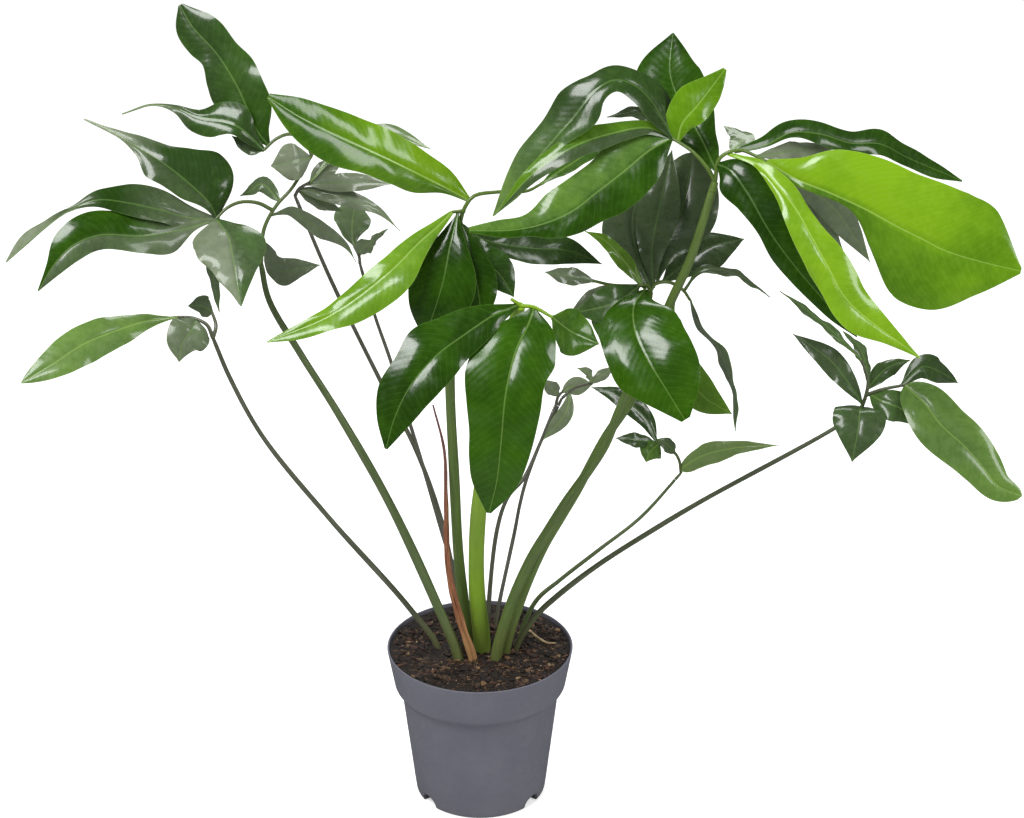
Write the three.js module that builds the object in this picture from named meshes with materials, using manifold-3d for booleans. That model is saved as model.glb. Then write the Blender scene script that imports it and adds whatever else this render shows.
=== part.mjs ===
// A finger-leaved philodendron in a plastic nursery pot: twelve long-stalked compound leaves from one crown.
// Millimetres, +Z up. The origin is the middle of the pot's foot, and the front of the plant faces -Y.

import * as THREE from "three";
import { mergeVertices } from "three/addons/utils/BufferGeometryUtils.js";
import Module from "manifold-3d";

const wasm = await Module();
wasm.setup();

// Pot
const RIM_HEIGHT = 170;
const RIM_RADIUS = 97;
const COLLAR_FOOT_HEIGHT = 128;
const COLLAR_FOOT_RADIUS = 89.5;
const STEP_HEIGHT = 120;
const STEP_RADIUS = 82.4;
const FOOT_RADIUS = 68.5;
const FOOT_ROUNDING = 3;
const POT_WALL = 2;
const FLOOR_THICKNESS = 2.5;
const NOTCH_WIDTH = 22;
const NOTCH_HEIGHT = 12;
const NOTCH_REACH = 14;
const NOTCH_ANGLES = [52, 180, -52];
const POT_SIDES = 42;

// Soil
const SOIL_HEIGHT = 166.5;
const SOIL_LUMP = 1.6;
const SOIL_RINGS = [34, 66];
const CLEARANCE = 0.3;
const HOLE_CLEARANCE = 0.4;
const STALK_DEPTH = 24;

// Leaf blades
const BLADE_THICKNESS = 1.0;
const RIB_DEPTH = 1.4;
const RIB_HEIGHT = 0.5;
const STALKLET_HALF_WIDTH = 1.8;
const TIP_HALF_WIDTH = 0.7;
const LONG_BLADE = 170;
const SHORT_BLADE = 80;
const BROAD_BLADE = 43;
const ARM_RADIUS = 2.2;
const ARM_TIP_RADIUS = 1.5;
const ARM_SIDES = 5;
const STALK_SIDES = 6;
const STALK_STEPS = 10;
const STALK_SPREAD = 1.3;
const ARM_STEPS = 4;
const NECK_LENGTH = 9;

// Where the photograph was taken from: in front and a little above. One pixel is one millimetre at the aim.
const PHOTO_CENTRE = { column: 512, row: 409 };
const PIXEL = 1;
const VIEW_DISTANCE = 2500;
const VIEW_PITCH = THREE.MathUtils.degToRad(24.5);
const VIEW_AIM = new THREE.Vector3(33.4, 0, 441);
const VIEW_FORWARD = new THREE.Vector3(0, Math.cos(VIEW_PITCH), -Math.sin(VIEW_PITCH));
const VIEW_RIGHT = new THREE.Vector3(1, 0, 0);
const VIEW_UP = new THREE.Vector3(0, Math.sin(VIEW_PITCH), Math.cos(VIEW_PITCH));
const EYE = VIEW_AIM.clone().addScaledVector(VIEW_FORWARD, -VIEW_DISTANCE);

// The leaves. A place on a leaf is [column, row, depth]: where the photograph shows it, and how far it lies
// behind the pot's axis. A foot is [x, y] on the soil. Depths, widths, radii and waves are in millimetres.
// An arm of the rachis that branches off starts with its share of the first arm. A leaflet grows from one
// arm, so far along it, and follows its rib out to its tip. Its turn is the angle from facing the viewer,
// about the rib. Where the photograph shows both its edges, left and right say how many pixels they lie
// from the rib, at nine even steps from root to tip. Otherwise it is even, and widest at that share of its
// length: a base or tail above 1 draws that end in, below 1 fills it.
const LEAVES = [
  {
    name: "a",
    stalk: {
      foot: [-44, 0], radius: 3.4, top: 2.2,
      bends: [[407, 605, 0], [330, 519, -12], [263, 437, -24], [230, 378, -32]],
    },
    arms: [
      [[213, 338, -36], [207, 325, -34], [193, 318, -30], [178, 317, -28]],
      [0, [216, 326, -30], [212, 312, -18]],
    ],
    leaflets: [
      {
        arm: 0, along: 1, width: 39, turn: 20, widest: 0.58, tail: 0.8,
        rib: [[143, 322, -50], [113, 332, -72], [82, 345, -94], [56, 362, -112], [21, 383, -130]],
      },
      {
        arm: 0, along: 0.6, width: 42, turn: 0, widest: 0.45,
        rib: [[192, 330, -50], [182, 344, -60], [179, 362, -66]],
      },
      { arm: 1, along: 1, width: 22, turn: -20, widest: 0.4, rib: [[203, 306, -6], [188, 306, 2]] },
    ],
  },
  {
    name: "b",
    stalk: {
      foot: [-22, -21], radius: 6, top: 3,
      bends: [[435, 600, -21], [389, 502, -18], [338, 413, -12], [300, 353, -8], [269, 300, -4]],
    },
    arms: [
      [[261, 264, 0], [264, 229, 2], [276, 206, 6], [292, 188, 12], [312, 155, 20]],
      [0.46, [258, 203, 2], [241, 202, -4], [227, 208, -10], [216, 219, -16]],
      [1, [305, 140, 18], [290, 134, 14], [276, 139, 10], [264, 150, 6]],
    ],
    leaflets: [
      {
        arm: 1, along: 1, width: 76, turn: 0,
        left: [1.8, 12, 22, 34, 34, 27, 18, 9, 0.8],
        right: [1.8, 30, 36, 36, 34, 24, 18, 8, 0.8],
        rib: [[228, 236, -44], [232, 252, -62], [236, 276, -82], [241, 306, -98]],
      },
      {
        arm: 1, along: 0.98, width: 60, turn: 20,
        left: [1.8, 8, 16, 18, 20, 7, 2.5, 1.5, 0.6],
        right: [1.8, 36, 43, 30, 19, 14, 7, 2.5, 0.6],
        rib: [[209, 203, -18], [193, 187, -14], [163, 163, -8], [140, 149, 0], [110, 131, 8], [84, 119, 14]],
      },
      {
        arm: 1, along: 1, width: 36, turn: 20,
        left: [1.8, 10, 12, 13, 8, 2, 1, 1.5, 0.6],
        right: [1.8, 14, 21, 20, 12, 3, 5, 9, 0.6],
        rib: [
          [190, 218, -24], [160, 210, -38], [128, 203, -48], [98, 200, -56],
          [70, 210, -62], [32, 238, -68], [6, 262, -72],
        ],
      },
      {
        arm: 1, along: 1, width: 40, turn: 15,
        left: [1.8, 5, 20, 17.5, 15, 14, 15, 10, 0.6],
        right: [1.8, 6, 12, 19, 23, 25, 19, 6, 0.6],
        rib: [
          [180, 230, -36], [141, 236, -58], [100, 235, -74],
          [72, 246, -86], [53, 266, -96], [38, 291, -104],
        ],
      },
      { arm: 1, along: 0.95, width: 26, turn: 60, widest: 0.45, rib: [[213, 268, -28], [219, 312, -42]] },
      {
        arm: 0, along: 0.2, width: 28, turn: -15, widest: 0.5,
        rib: [[280, 271, 20], [300, 268, 40], [320, 265, 54]],
      },
      {
        arm: 0, along: 0.55, width: 16, turn: 10, widest: 0.45,
        rib: [[262, 184, 20], [250, 191, 24], [240, 196, 26]],
      },
      { arm: 0, along: 0.98, width: 36, turn: 0, widest: 0.5, rib: [[296, 161, 8], [271, 166, -4]] },
      {
        arm: 2, along: 0.9, width: 58, turn: -10, wave: 4,
        left: [1.8, 10, 22, 30, 26, 18, 20, 17, 2],
        right: [1.8, 15, 25, 26, 26, 21.5, 24, 19, 3],
        rib: [[258, 132, 8], [248, 110, 16], [237, 86, 24], [217, 54, 34], [192, 26, 44], [180, 5, 52]],
      },
      {
        arm: 2, along: 1, width: 38, turn: 10,
        left: [1.8, 8, 10, 17.5, 15, 6, 1.4, 1, 0.6],
        right: [1.8, 8, 22, 18, 8, 3, 1.4, 1, 0.6],
        rib: [[240, 128, 0], [222, 121, 4], [198, 117, 10], [176, 108, 16], [150, 105, 22], [122, 114, 26]],
      },
      { arm: 2, along: 1, width: 14, turn: 20, widest: 0.45, rib: [[250, 148, 10], [232, 136, 14]] },
      {
        arm: 0, along: 0.42, width: 16, turn: 10, widest: 0.5, tail: 1.5,
        rib: [[290, 211, 24], [302, 217, 34], [318, 228, 50], [346, 246, 70], [356, 262, 76]],
      },
    ],
  },
  {
    name: "c",
    stalk: {
      foot: [-19, 42], radius: 3, top: 2,
      bends: [[441, 520, 62], [416, 450, 76], [380, 380, 92], [330, 278, 116]],
    },
    arms: [[[295, 196, 136], [299, 189, 134], [310, 182, 130]]],
    leaflets: [
      { arm: 0, along: 1, width: 20, turn: -20, widest: 0.5, rib: [[322, 172, 140], [342, 162, 150]] },
      {
        arm: 0, along: 0.8, width: 20, turn: -10, widest: 0.5,
        rib: [[320, 184, 128], [350, 182, 118], [391, 184, 108]],
      },
      {
        arm: 0, along: 0.4, width: 18, turn: -10, widest: 0.4, tail: 1.5,
        rib: [[320, 193, 130], [350, 199, 118], [380, 212, 104], [400, 231, 96]],
      },
      { arm: 0, along: 0.3, width: 15, turn: -20, widest: 0.5, rib: [[318, 201, 138], [342, 211, 136]] },
      {
        arm: 0, along: 1, width: 16, turn: -30, widest: 0.6,
        rib: [[340, 150, 146], [385, 131, 138], [431, 149, 120]],
      },
    ],
  },
  {
    name: "d",
    stalk: {
      foot: [-10, 60], radius: 2.6, top: 1.8,
      bends: [[446, 545, 82], [424, 470, 104], [408, 417, 120], [390, 359, 140], [375, 316, 158]],
    },
    arms: [[[360, 264, 186], [359, 256, 190], [355, 248, 192]]],
    leaflets: [
      {
        arm: 0, along: 1, width: 40, turn: 10, widest: 0.6,
        rib: [[352, 234, 200], [353, 216, 216], [357, 200, 230]],
      },
      {
        arm: 0, along: 0.5, width: 9, turn: 40, widest: 0.5,
        rib: [[368, 246, 194], [378, 236, 202], [388, 229, 208]],
      },
      { arm: 0, along: 0.6, width: 20, turn: 20, widest: 0.5, rib: [[364, 247, 178], [374, 240, 170]] },
    ],
  },
  {
    name: "e",
    stalk: {
      foot: [-12.5, 10], radius: 6.2, top: 4.6,
      bends: [[459, 560, 0], [454, 470, -14], [450, 380, -30], [452, 300, -45]],
    },
    arms: [
      [[459, 226, -58], [465, 207, -60], [474, 196, -58], [497, 192, -50], [527, 191, -40], [541, 184, -32]],
      [0.16, [452, 212, -66]],
    ],
    leaflets: [
      {
        arm: 0, along: 0.28, width: 60, turn: 15,
        left: [1.8, 6, 18, 21, 23, 28, 26, 17, 2],
        right: [1.8, 18, 23, 26, 27, 26, 22.5, 17, 4],
        rib: [[440, 185, -66], [400, 165, -84], [345, 139, -104], [300, 117, -118], [268, 97, -128]],
      },
      {
        arm: 1, along: 1, width: 50, turn: 20,
        left: [1.8, 7, 15, 24, 23.5, 20, 13, 9, 0.6],
        right: [1.8, 8, 12.5, 14, 15, 12, 8.5, 5, 0.6],
        rib: [
          [438, 226, -78], [420, 242, -90], [392, 270, -110],
          [364, 293, -124], [328, 317, -138], [267, 342, -152],
        ],
      },
      {
        arm: 1, along: 0.5, width: 64, turn: 10, widest: 0.6, tail: 0.7,
        rib: [[450, 246, -80], [443, 282, -92], [426, 336, -98]],
      },
      {
        arm: 0, along: 0.05, width: 40, turn: -10, widest: 0.6,
        rib: [[470, 255, -76], [478, 290, -86], [482, 325, -90]],
      },
      {
        arm: 0, along: 1, width: 15, turn: -20, widest: 0.5,
        rib: [[560, 171, -10], [600, 147, 20], [625, 139, 40]],
      },
      {
        arm: 0, along: 0.03, width: 32, turn: -20, widest: 0.6,
        rib: [[485, 240, -44], [530, 248, -20], [570, 251, 0], [602, 264, 16]],
      },
      {
        arm: 0, along: 0.03, width: 36, turn: -10, widest: 0.6,
        rib: [[482, 258, -62], [500, 275, -66], [514, 297, -70]],
      },
    ],
  },
  {
    name: "f",
    stalk: {
      foot: [3, -2], radius: 9.6, top: 6,
      bends: [[477, 590, -14], [478, 520, -45], [490, 430, -100], [506, 350, -155]],
    },
    arms: [
      [[520, 306, -186], [517, 303, -187], [514, 301, -188], [511, 299, -188]],
      [0, [533, 307, -186], [552, 317, -184]],
    ],
    leaflets: [
      {
        arm: 0, along: 0.15, width: 66, turn: 10,
        left: [1.8, 10, 18, 21.5, 27, 27.5, 23, 15, 1.5],
        right: [1.8, 10, 22, 30, 36, 29, 28, 17, 1.5],
        rib: [
          [494, 315, -206], [464, 335, -222], [436, 356, -240],
          [411, 385, -254], [395, 417, -264], [386, 449, -270],
        ],
      },
      {
        arm: 1, along: 0.4, width: 88, turn: 0,
        left: [1.8, 31, 42, 37, 37, 33.5, 28, 19, 2],
        right: [1.8, 20, 37, 44, 38, 33, 30.5, 23.5, 3],
        rib: [
          [528, 325, -208], [516, 350, -226], [506, 392, -248],
          [501, 443, -258], [497, 480, -261], [489, 513, -262],
        ],
      },
      { arm: 1, along: 1, width: 44, turn: -20, widest: 0.5, rib: [[572, 332, -170], [599, 344, -160]] },
    ],
  },
  {
    name: "g",
    stalk: {
      foot: [16.7, -21], radius: 6.2, top: 4,
      bends: [
        [511, 604, -26], [530, 561, -34], [548, 531, -42], [566, 502, -50],
        [587, 473, -56], [605, 445, -60], [618, 413, -66], [628, 388, -68],
      ],
    },
    arms: [
      [[650, 292, -60], [648, 286, -60], [633, 286, -58], [612, 285, -54], [594, 281, -50]],
      [0, [655, 284, -54], [668, 282, -48], [683, 290, -40], [690, 300, -40]],
    ],
    leaflets: [
      {
        arm: 0, along: 0.1, width: 94, turn: 0,
        left: [1.8, 16, 39, 46, 47, 47, 43, 30, 6],
        right: [1.8, 22, 43, 37, 38, 39, 30, 17, 4],
        rib: [[634, 306, -90], [635, 330, -112], [647, 358, -132], [664, 386, -148], [685, 420, -160]],
      },
      { arm: 0, along: 0.25, width: 36, turn: 0, widest: 0.5, rib: [[615, 303, -84], [574, 313, -100]] },
      { arm: 0, along: 0.6, width: 20, turn: 10, widest: 0.5, rib: [[600, 296, -64], [572, 310, -74]] },
      { arm: 0, along: 1, width: 18, turn: 20, widest: 0.5, rib: [[575, 277, -44], [545, 272, -40]] },
      {
        arm: 1, along: 0.05, width: 60, turn: 20, widest: 0.5,
        rib: [[640, 262, -44], [632, 225, -10], [640, 185, 30]],
      },
      {
        arm: 1, along: 0.2, width: 70, turn: -10, widest: 0.6, tail: 0.6,
        rib: [[662, 252, -30], [680, 215, 10], [694, 152, 48]],
      },
      {
        arm: 1, along: 0.1, width: 40, turn: 0, widest: 0.55,
        rib: [[652, 250, -40], [660, 205, 0], [672, 150, 30]],
      },
      {
        arm: 1, along: 0.3, width: 46, turn: -20, widest: 0.55,
        rib: [[690, 260, -14], [712, 246, 16], [744, 239, 44]],
      },
      {
        arm: 1, along: 1, width: 24, turn: 70, widest: 0.4,
        rib: [[700, 328, -50], [719, 350, -58], [729, 376, -62], [735, 405, -62], [735, 431, -60]],
      },
      {
        arm: 1, along: 0.6, width: 34, turn: 0, widest: 0.7,
        rib: [[672, 335, -50], [686, 372, -70], [703, 396, -82], [732, 414, -92]],
      },
      {
        arm: 1, along: 0.8, width: 20, turn: -65, widest: 0.6,
        rib: [[700, 271, -28], [722, 270, -14], [746, 279, 2], [770, 297, 18]],
      },
      {
        arm: 0, along: 0.1, width: 16, turn: 20, widest: 0.5,
        rib: [[625, 262, -54], [604, 240, -46], [585, 231, -42]],
      },
    ],
  },
  {
    name: "h",
    stalk: {
      foot: [25.5, -9], radius: 6, top: 4.2,
      bends: [
        [519, 604, -8], [543, 547, -20], [560, 518, -28], [577, 490, -34],
        [604, 440, -42], [638, 388, -54], [668, 308, -78], [690, 260, -80], [705, 215, -76],
      ],
    },
    arms: [
      [[715, 182, -70], [707, 168, -72], [693, 152, -76], [672, 138, -80]],
      [0, [720, 158, -72], [738, 150, -72], [766, 161, -66]],
    ],
    leaflets: [
      {
        arm: 0, along: 1, width: 66, turn: 10,
        left: [1.8, 23, 31, 31.5, 24.5, 20.5, 9, 6.5, 2],
        right: [1.8, 24, 31, 28, 29, 27, 14, 11, 4],
        rib: [
          [650, 150, -94], [622, 173, -108], [596, 193, -120], [574, 210, -130],
          [546, 223, -137], [513, 230, -142], [469, 231, -146],
        ],
      },
      {
        arm: 0, along: 0.98, width: 46, turn: 25,
        left: [1.8, 17, 16, 11, 20, 12, 10, 8, 0.6],
        right: [1.8, 26, 18, 15, 27, 22, 20, 12.5, 0.6],
        rib: [
          [656, 108, -78], [637, 87, -80], [615, 80, -84], [594, 92, -90],
          [574, 117, -95], [534, 163, -100], [493, 216, -98],
        ],
      },
      {
        arm: 0, along: 0.95, width: 24, turn: 20, widest: 0.45,
        rib: [[648, 128, -84], [610, 134, -94], [575, 146, -106], [535, 172, -114], [495, 215, -114]],
      },
      {
        arm: 1, along: 0.15, width: 72, turn: 0,
        left: [1.8, 10, 18, 28, 36, 40, 38, 23, 0.8],
        right: [1.8, 11, 16, 26, 32, 32, 29, 18, 0.8],
        rib: [[702, 140, -40], [680, 102, -4], [670, 72, 24], [673, 33, 50]],
      },
      {
        arm: 0, along: 0.9, width: 38, turn: 10,
        left: [1.8, 14, 20, 24, 24, 20, 14, 8, 2],
        right: [1.8, 8, 12, 15, 16, 15, 12, 8, 2],
        rib: [[682, 124, -76], [697, 106, -68], [711, 88, -58], [725, 69, -50]],
      },
      {
        arm: 1, along: 0.55, width: 36, turn: -20, wave: 2,
        left: [1.8, 9, 12.5, 11.5, 12, 16, 11, 8, 0.8],
        right: [1.8, 2, 6, 10.5, 10, 12, 9, 8, 0.8],
        rib: [
          [766, 145, -56], [790, 133, -44], [820, 134, -28], [850, 143, -14],
          [880, 144, 0], [906, 157, 14], [962, 181, 40],
        ],
      },
      {
        arm: 1, along: 0.85, width: 18, turn: -20, widest: 0.5,
        rib: [[785, 152, -46], [805, 149, -26], [834, 149, -6]],
      },
      {
        arm: 1, along: 1, width: 128, turn: 0,
        left: [1.8, 21, 43, 52, 55, 59, 61, 51, 3],
        right: [1.8, 6, 6, 8, 32, 62, 61, 33, 3],
        rib: [
          [798, 180, -96], [830, 193, -106], [867, 210, -116], [896, 226, -122],
          [922, 239, -128], [946, 251, -134], [982, 262, -142], [1021, 271, -148],
        ],
      },
      {
        arm: 1, along: 0.45, width: 46, turn: -15, wave: 3,
        left: [1.8, 6, 13, 13, 19, 23.5, 18, 9, 0.6],
        right: [1.8, 4, 8, 17, 19, 17, 21, 9, 0.6],
        rib: [
          [758, 165, -96], [776, 184, -112], [795, 208, -128], [811, 236, -142],
          [828, 267, -154], [848, 301, -164], [920, 358, -176],
        ],
      },
      {
        arm: 1, along: 0.25, width: 48, turn: 0,
        left: [1.8, 20, 24, 22, 14, 13, 10, 6, 0.6],
        right: [1.8, 21, 16, 11, 14, 13, 11, 8, 0.6],
        rib: [[731, 171, -86], [748, 194, -100], [768, 229, -116], [793, 264, -128], [857, 337, -140]],
      },
      {
        arm: 1, along: 0.95, width: 26, turn: 0, widest: 0.55,
        rib: [[805, 195, -40], [825, 225, -20], [843, 250, -8]],
      },
      {
        arm: 1, along: 1, width: 28, turn: 0, widest: 0.55,
        rib: [[830, 205, -34], [853, 235, -8], [870, 262, 8]],
      },
      { arm: 1, along: 0.5, width: 24, turn: 0, widest: 0.5, rib: [[742, 138, -44], [724, 126, -24]] },
      { arm: 0, along: 1, width: 12, turn: 20, widest: 0.5, rib: [[640, 113, -68], [607, 117, -60]] },
    ],
  },
  {
    name: "j",
    stalk: {
      foot: [40.7, 14.6], radius: 2.8, top: 1.7,
      bends: [[536, 601, 18], [560, 580, 24], [600, 549, 30], [641, 517, 42]],
    },
    arms: [[[681, 473, 58], [679, 460, 60], [673, 451, 62], [657, 443, 66]]],
    leaflets: [
      {
        arm: 0, along: 0.1, width: 24, turn: -20, widest: 0.3,
        rib: [[702, 456, 44], [735, 448, 28], [779, 445, 12]],
      },
      { arm: 0, along: 0.5, width: 15, turn: 20, widest: 0.5, rib: [[668, 445, 54], [657, 439, 50]] },
      { arm: 0, along: 1, width: 16, turn: 20, widest: 0.5, rib: [[636, 440, 60], [616, 438, 54]] },
      {
        arm: 0, along: 1, width: 22, turn: 0, widest: 0.5,
        rib: [[645, 418, 84], [618, 396, 104], [591, 387, 120]],
      },
      { arm: 0, along: 0.95, width: 26, turn: 0, widest: 0.45, rib: [[650, 452, 56], [646, 462, 50]] },
    ],
  },
  {
    name: "k",
    stalk: {
      foot: [37.6, -2], radius: 3.4, top: 2.2,
      bends: [
        [536, 616, -2], [556, 597, -3], [598, 565, -6], [653, 530, -11], [700, 502, -16], [838, 426, -28],
      ],
    },
    arms: [
      [[861, 409, -30], [866, 395, -28], [868, 380, -24], [862, 360, -18]],
      [0.29, [884, 389, -34], [905, 385, -38]],
    ],
    leaflets: [
      {
        arm: 0, along: 0.1, width: 24, turn: 10, widest: 0.5,
        rib: [[852, 388, -26], [830, 360, -10], [793, 334, 10]],
      },
      {
        arm: 0, along: 0.05, width: 52, turn: 0, widest: 0.42, base: 0.4,
        rib: [[860, 412, -52], [858, 430, -66], [852, 462, -78]],
      },
      {
        arm: 1, along: 0.1, width: 32, turn: -10, widest: 0.5,
        rib: [[884, 402, -44], [903, 410, -52], [917, 426, -56]],
      },
      {
        arm: 0, along: 0.4, width: 20, turn: -20, widest: 0.5,
        rib: [[880, 374, -10], [893, 365, 4], [910, 360, 14]],
      },
      {
        arm: 1, along: 0.9, width: 26, turn: -20, widest: 0.5,
        rib: [[922, 367, -20], [940, 372, -6], [958, 383, 8]],
      },
      {
        arm: 1, along: 1, width: 52, turn: -15, widest: 0.36, base: 0.7, tail: 0.5,
        rib: [
          [924, 403, -58], [942, 426, -76], [964, 446, -90],
          [982, 466, -100], [998, 486, -106], [1022, 496, -110],
        ],
      },
      {
        arm: 0, along: 0.6, width: 16, turn: 50, widest: 0.5,
        rib: [[866, 365, -12], [858, 346, 0], [843, 331, 12]],
      },
      {
        arm: 0, along: 1, width: 12, turn: 50, widest: 0.5,
        rib: [[835, 334, -8], [808, 311, 6], [780, 291, 18]],
      },
    ],
  },
  {
    name: "l",
    stalk: {
      foot: [7, 31], radius: 2.8, top: 1.8,
      bends: [[497, 530, 58], [508, 497, 68], [524, 478, 78], [543, 437, 96]],
    },
    arms: [[[562, 398, 112], [575, 388, 116], [592, 383, 120]]],
    leaflets: [
      { arm: 0, along: 1, width: 9, turn: 20, widest: 0.5, rib: [[588, 372, 112], [577, 368, 108]] },
      { arm: 0, along: 0.9, width: 12, turn: 20, widest: 0.5, rib: [[604, 374, 128], [616, 366, 134]] },
      { arm: 0, along: 0.3, width: 17, turn: 0, widest: 0.5, rib: [[566, 412, 100], [543, 440, 92]] },
    ],
  },
  {
    name: "m",
    stalk: {
      foot: [15.6, 44], radius: 2.4, top: 1.8,
      bends: [[515, 530, 92], [520, 504, 100], [527, 478, 110]],
    },
    arms: [[[556, 404, 146], [558, 397, 148], [562, 392, 150]]],
    leaflets: [
      { arm: 0, along: 1, width: 20, turn: 0, widest: 0.5, rib: [[572, 387, 148], [593, 384, 146]] },
      { arm: 0, along: 0.6, width: 16, turn: 0, widest: 0.5, rib: [[552, 388, 142], [545, 380, 138]] },
    ],
  },
];

// The dry sheath between the stalks, from its base in the soil to its curled tip
const SHEATH = {
  foot: [-7, -25],
  radius: 5,
  top: 0.9,
  bends: [[462, 625, -24], [449, 570, -24], [446, 500, -22], [444, 450, -20]],
  tip: [433, 405, -18],
};

const material = (color, roughness) => new THREE.MeshStandardMaterial({ color, roughness, metalness: 0 });

// The place that the photograph shows at this column and row, at this depth behind the pot's axis
function at([column, row, depth]) {
  const ray = VIEW_FORWARD.clone()
    .addScaledVector(VIEW_RIGHT, ((column - PHOTO_CENTRE.column) * PIXEL) / VIEW_DISTANCE)
    .addScaledVector(VIEW_UP, ((PHOTO_CENTRE.row - row) * PIXEL) / VIEW_DISTANCE);
  return EYE.clone().addScaledVector(ray, (depth - EYE.y) / ray.y);
}

// How far from the viewer a place is, as a share of the viewing distance
function nearness(place) {
  return place.clone().sub(EYE).dot(VIEW_FORWARD) / VIEW_DISTANCE;
}

// A repeatable draw between 0 and 1
function draw(seed) {
  const spread = Math.sin(seed * 12.9898 + 4.1414) * 43758.5453;
  return spread - Math.floor(spread);
}

const curveThrough = (points) => new THREE.CatmullRomCurve3(points, false, "centripetal");

// A closed solid from corners and triangles
function solidOf(corners, triangles) {
  const mesh = new wasm.Mesh({
    numProp: 3,
    vertProperties: new Float32Array(corners.flatMap((corner) => corner.toArray())),
    triVerts: new Uint32Array(triangles.flat()),
  });
  return new wasm.Manifold(mesh);
}

function solidOfGeometry(geometry) {
  geometry.deleteAttribute("normal");
  geometry.deleteAttribute("uv");
  const merged = mergeVertices(geometry, 1e-3);
  const mesh = new wasm.Mesh({
    numProp: 3,
    vertProperties: merged.attributes.position.array,
    triVerts: new Uint32Array(merged.index.array),
  });
  return new wasm.Manifold(mesh);
}

function geometryOfSolid(solid) {
  const mesh = solid.getMesh();
  const geometry = new THREE.BufferGeometry();
  geometry.setAttribute("position", new THREE.BufferAttribute(mesh.vertProperties, mesh.numProp));
  geometry.setIndex(new THREE.BufferAttribute(mesh.triVerts, 1));
  geometry.computeVertexNormals();
  return geometry;
}

// Directions square to a curve that turn with it as little as possible, one for each station
function carryAcross(tangents, startIndex, start) {
  const normals = [];
  const carry = (from, tangent) => from.clone().addScaledVector(tangent, -from.dot(tangent)).normalize();
  normals[startIndex] = carry(start, tangents[startIndex]);
  for (let i = startIndex + 1; i < tangents.length; i += 1) normals[i] = carry(normals[i - 1], tangents[i]);
  for (let i = startIndex - 1; i >= 0; i -= 1) normals[i] = carry(normals[i + 1], tangents[i]);
  return normals;
}

// Shares of a curve from one to the other, closer together at the start where the power is above 1
const sharesBetween = (from, to, steps, power = 1) =>
  Array.from({ length: steps + 1 }, (_, i) => from + (to - from) * (i / steps) ** power);

// A round stem through these shares of a curve, with a radius for each
function stem(curve, shares, radii, sides) {
  const tangents = shares.map((share) => curve.getTangentAt(share));
  const normals = carryAcross(tangents, 0, Math.abs(tangents[0].x) < 0.8 ? VIEW_RIGHT : VIEW_UP);
  const corners = [];
  const triangles = [];
  shares.forEach((share, i) => {
    const centre = curve.getPointAt(share);
    const across = new THREE.Vector3().crossVectors(tangents[i], normals[i]);
    for (let k = 0; k < sides; k += 1) {
      const angle = (2 * Math.PI * k) / sides;
      const outward = normals[i].clone().multiplyScalar(Math.cos(angle));
      outward.addScaledVector(across, Math.sin(angle));
      corners.push(centre.clone().addScaledVector(outward, radii[i]));
    }
  });
  const last = (shares.length - 1) * sides;
  for (let i = 0; i < shares.length - 1; i += 1) {
    for (let k = 0; k < sides; k += 1) {
      const a = i * sides + k;
      const b = i * sides + ((k + 1) % sides);
      triangles.push([a, b, b + sides], [a, b + sides, a + sides]);
    }
  }
  for (let k = 1; k < sides - 1; k += 1) {
    triangles.push([0, k + 1, k], [last, last + k, last + k + 1]);
  }
  return solidOf(corners, triangles);
}

// The place inside the straight pieces of an arm at this share of it
function onArm(arm, share) {
  const piece = Math.min(Math.floor(share * ARM_STEPS), ARM_STEPS - 1);
  const [near, far] = [arm.getPointAt(piece / ARM_STEPS), arm.getPointAt((piece + 1) / ARM_STEPS)];
  return near.lerp(far, share * ARM_STEPS - piece);
}

// How wide an even blade is at this share of its length, as a share of its greatest width
function outline(share, widest, base, tail) {
  const phase = Math.PI * share ** (Math.log(0.5) / Math.log(widest));
  return Math.max(Math.sin(phase), 0) ** (share < widest ? base : tail);
}

// One of a list of widths, equally spaced from root to tip, at this share of the length
function widthAt(widths, share) {
  const step = Math.min(Math.floor(share * (widths.length - 1)), widths.length - 2);
  return THREE.MathUtils.lerp(widths[step], widths[step + 1], share * (widths.length - 1) - step);
}

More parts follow.
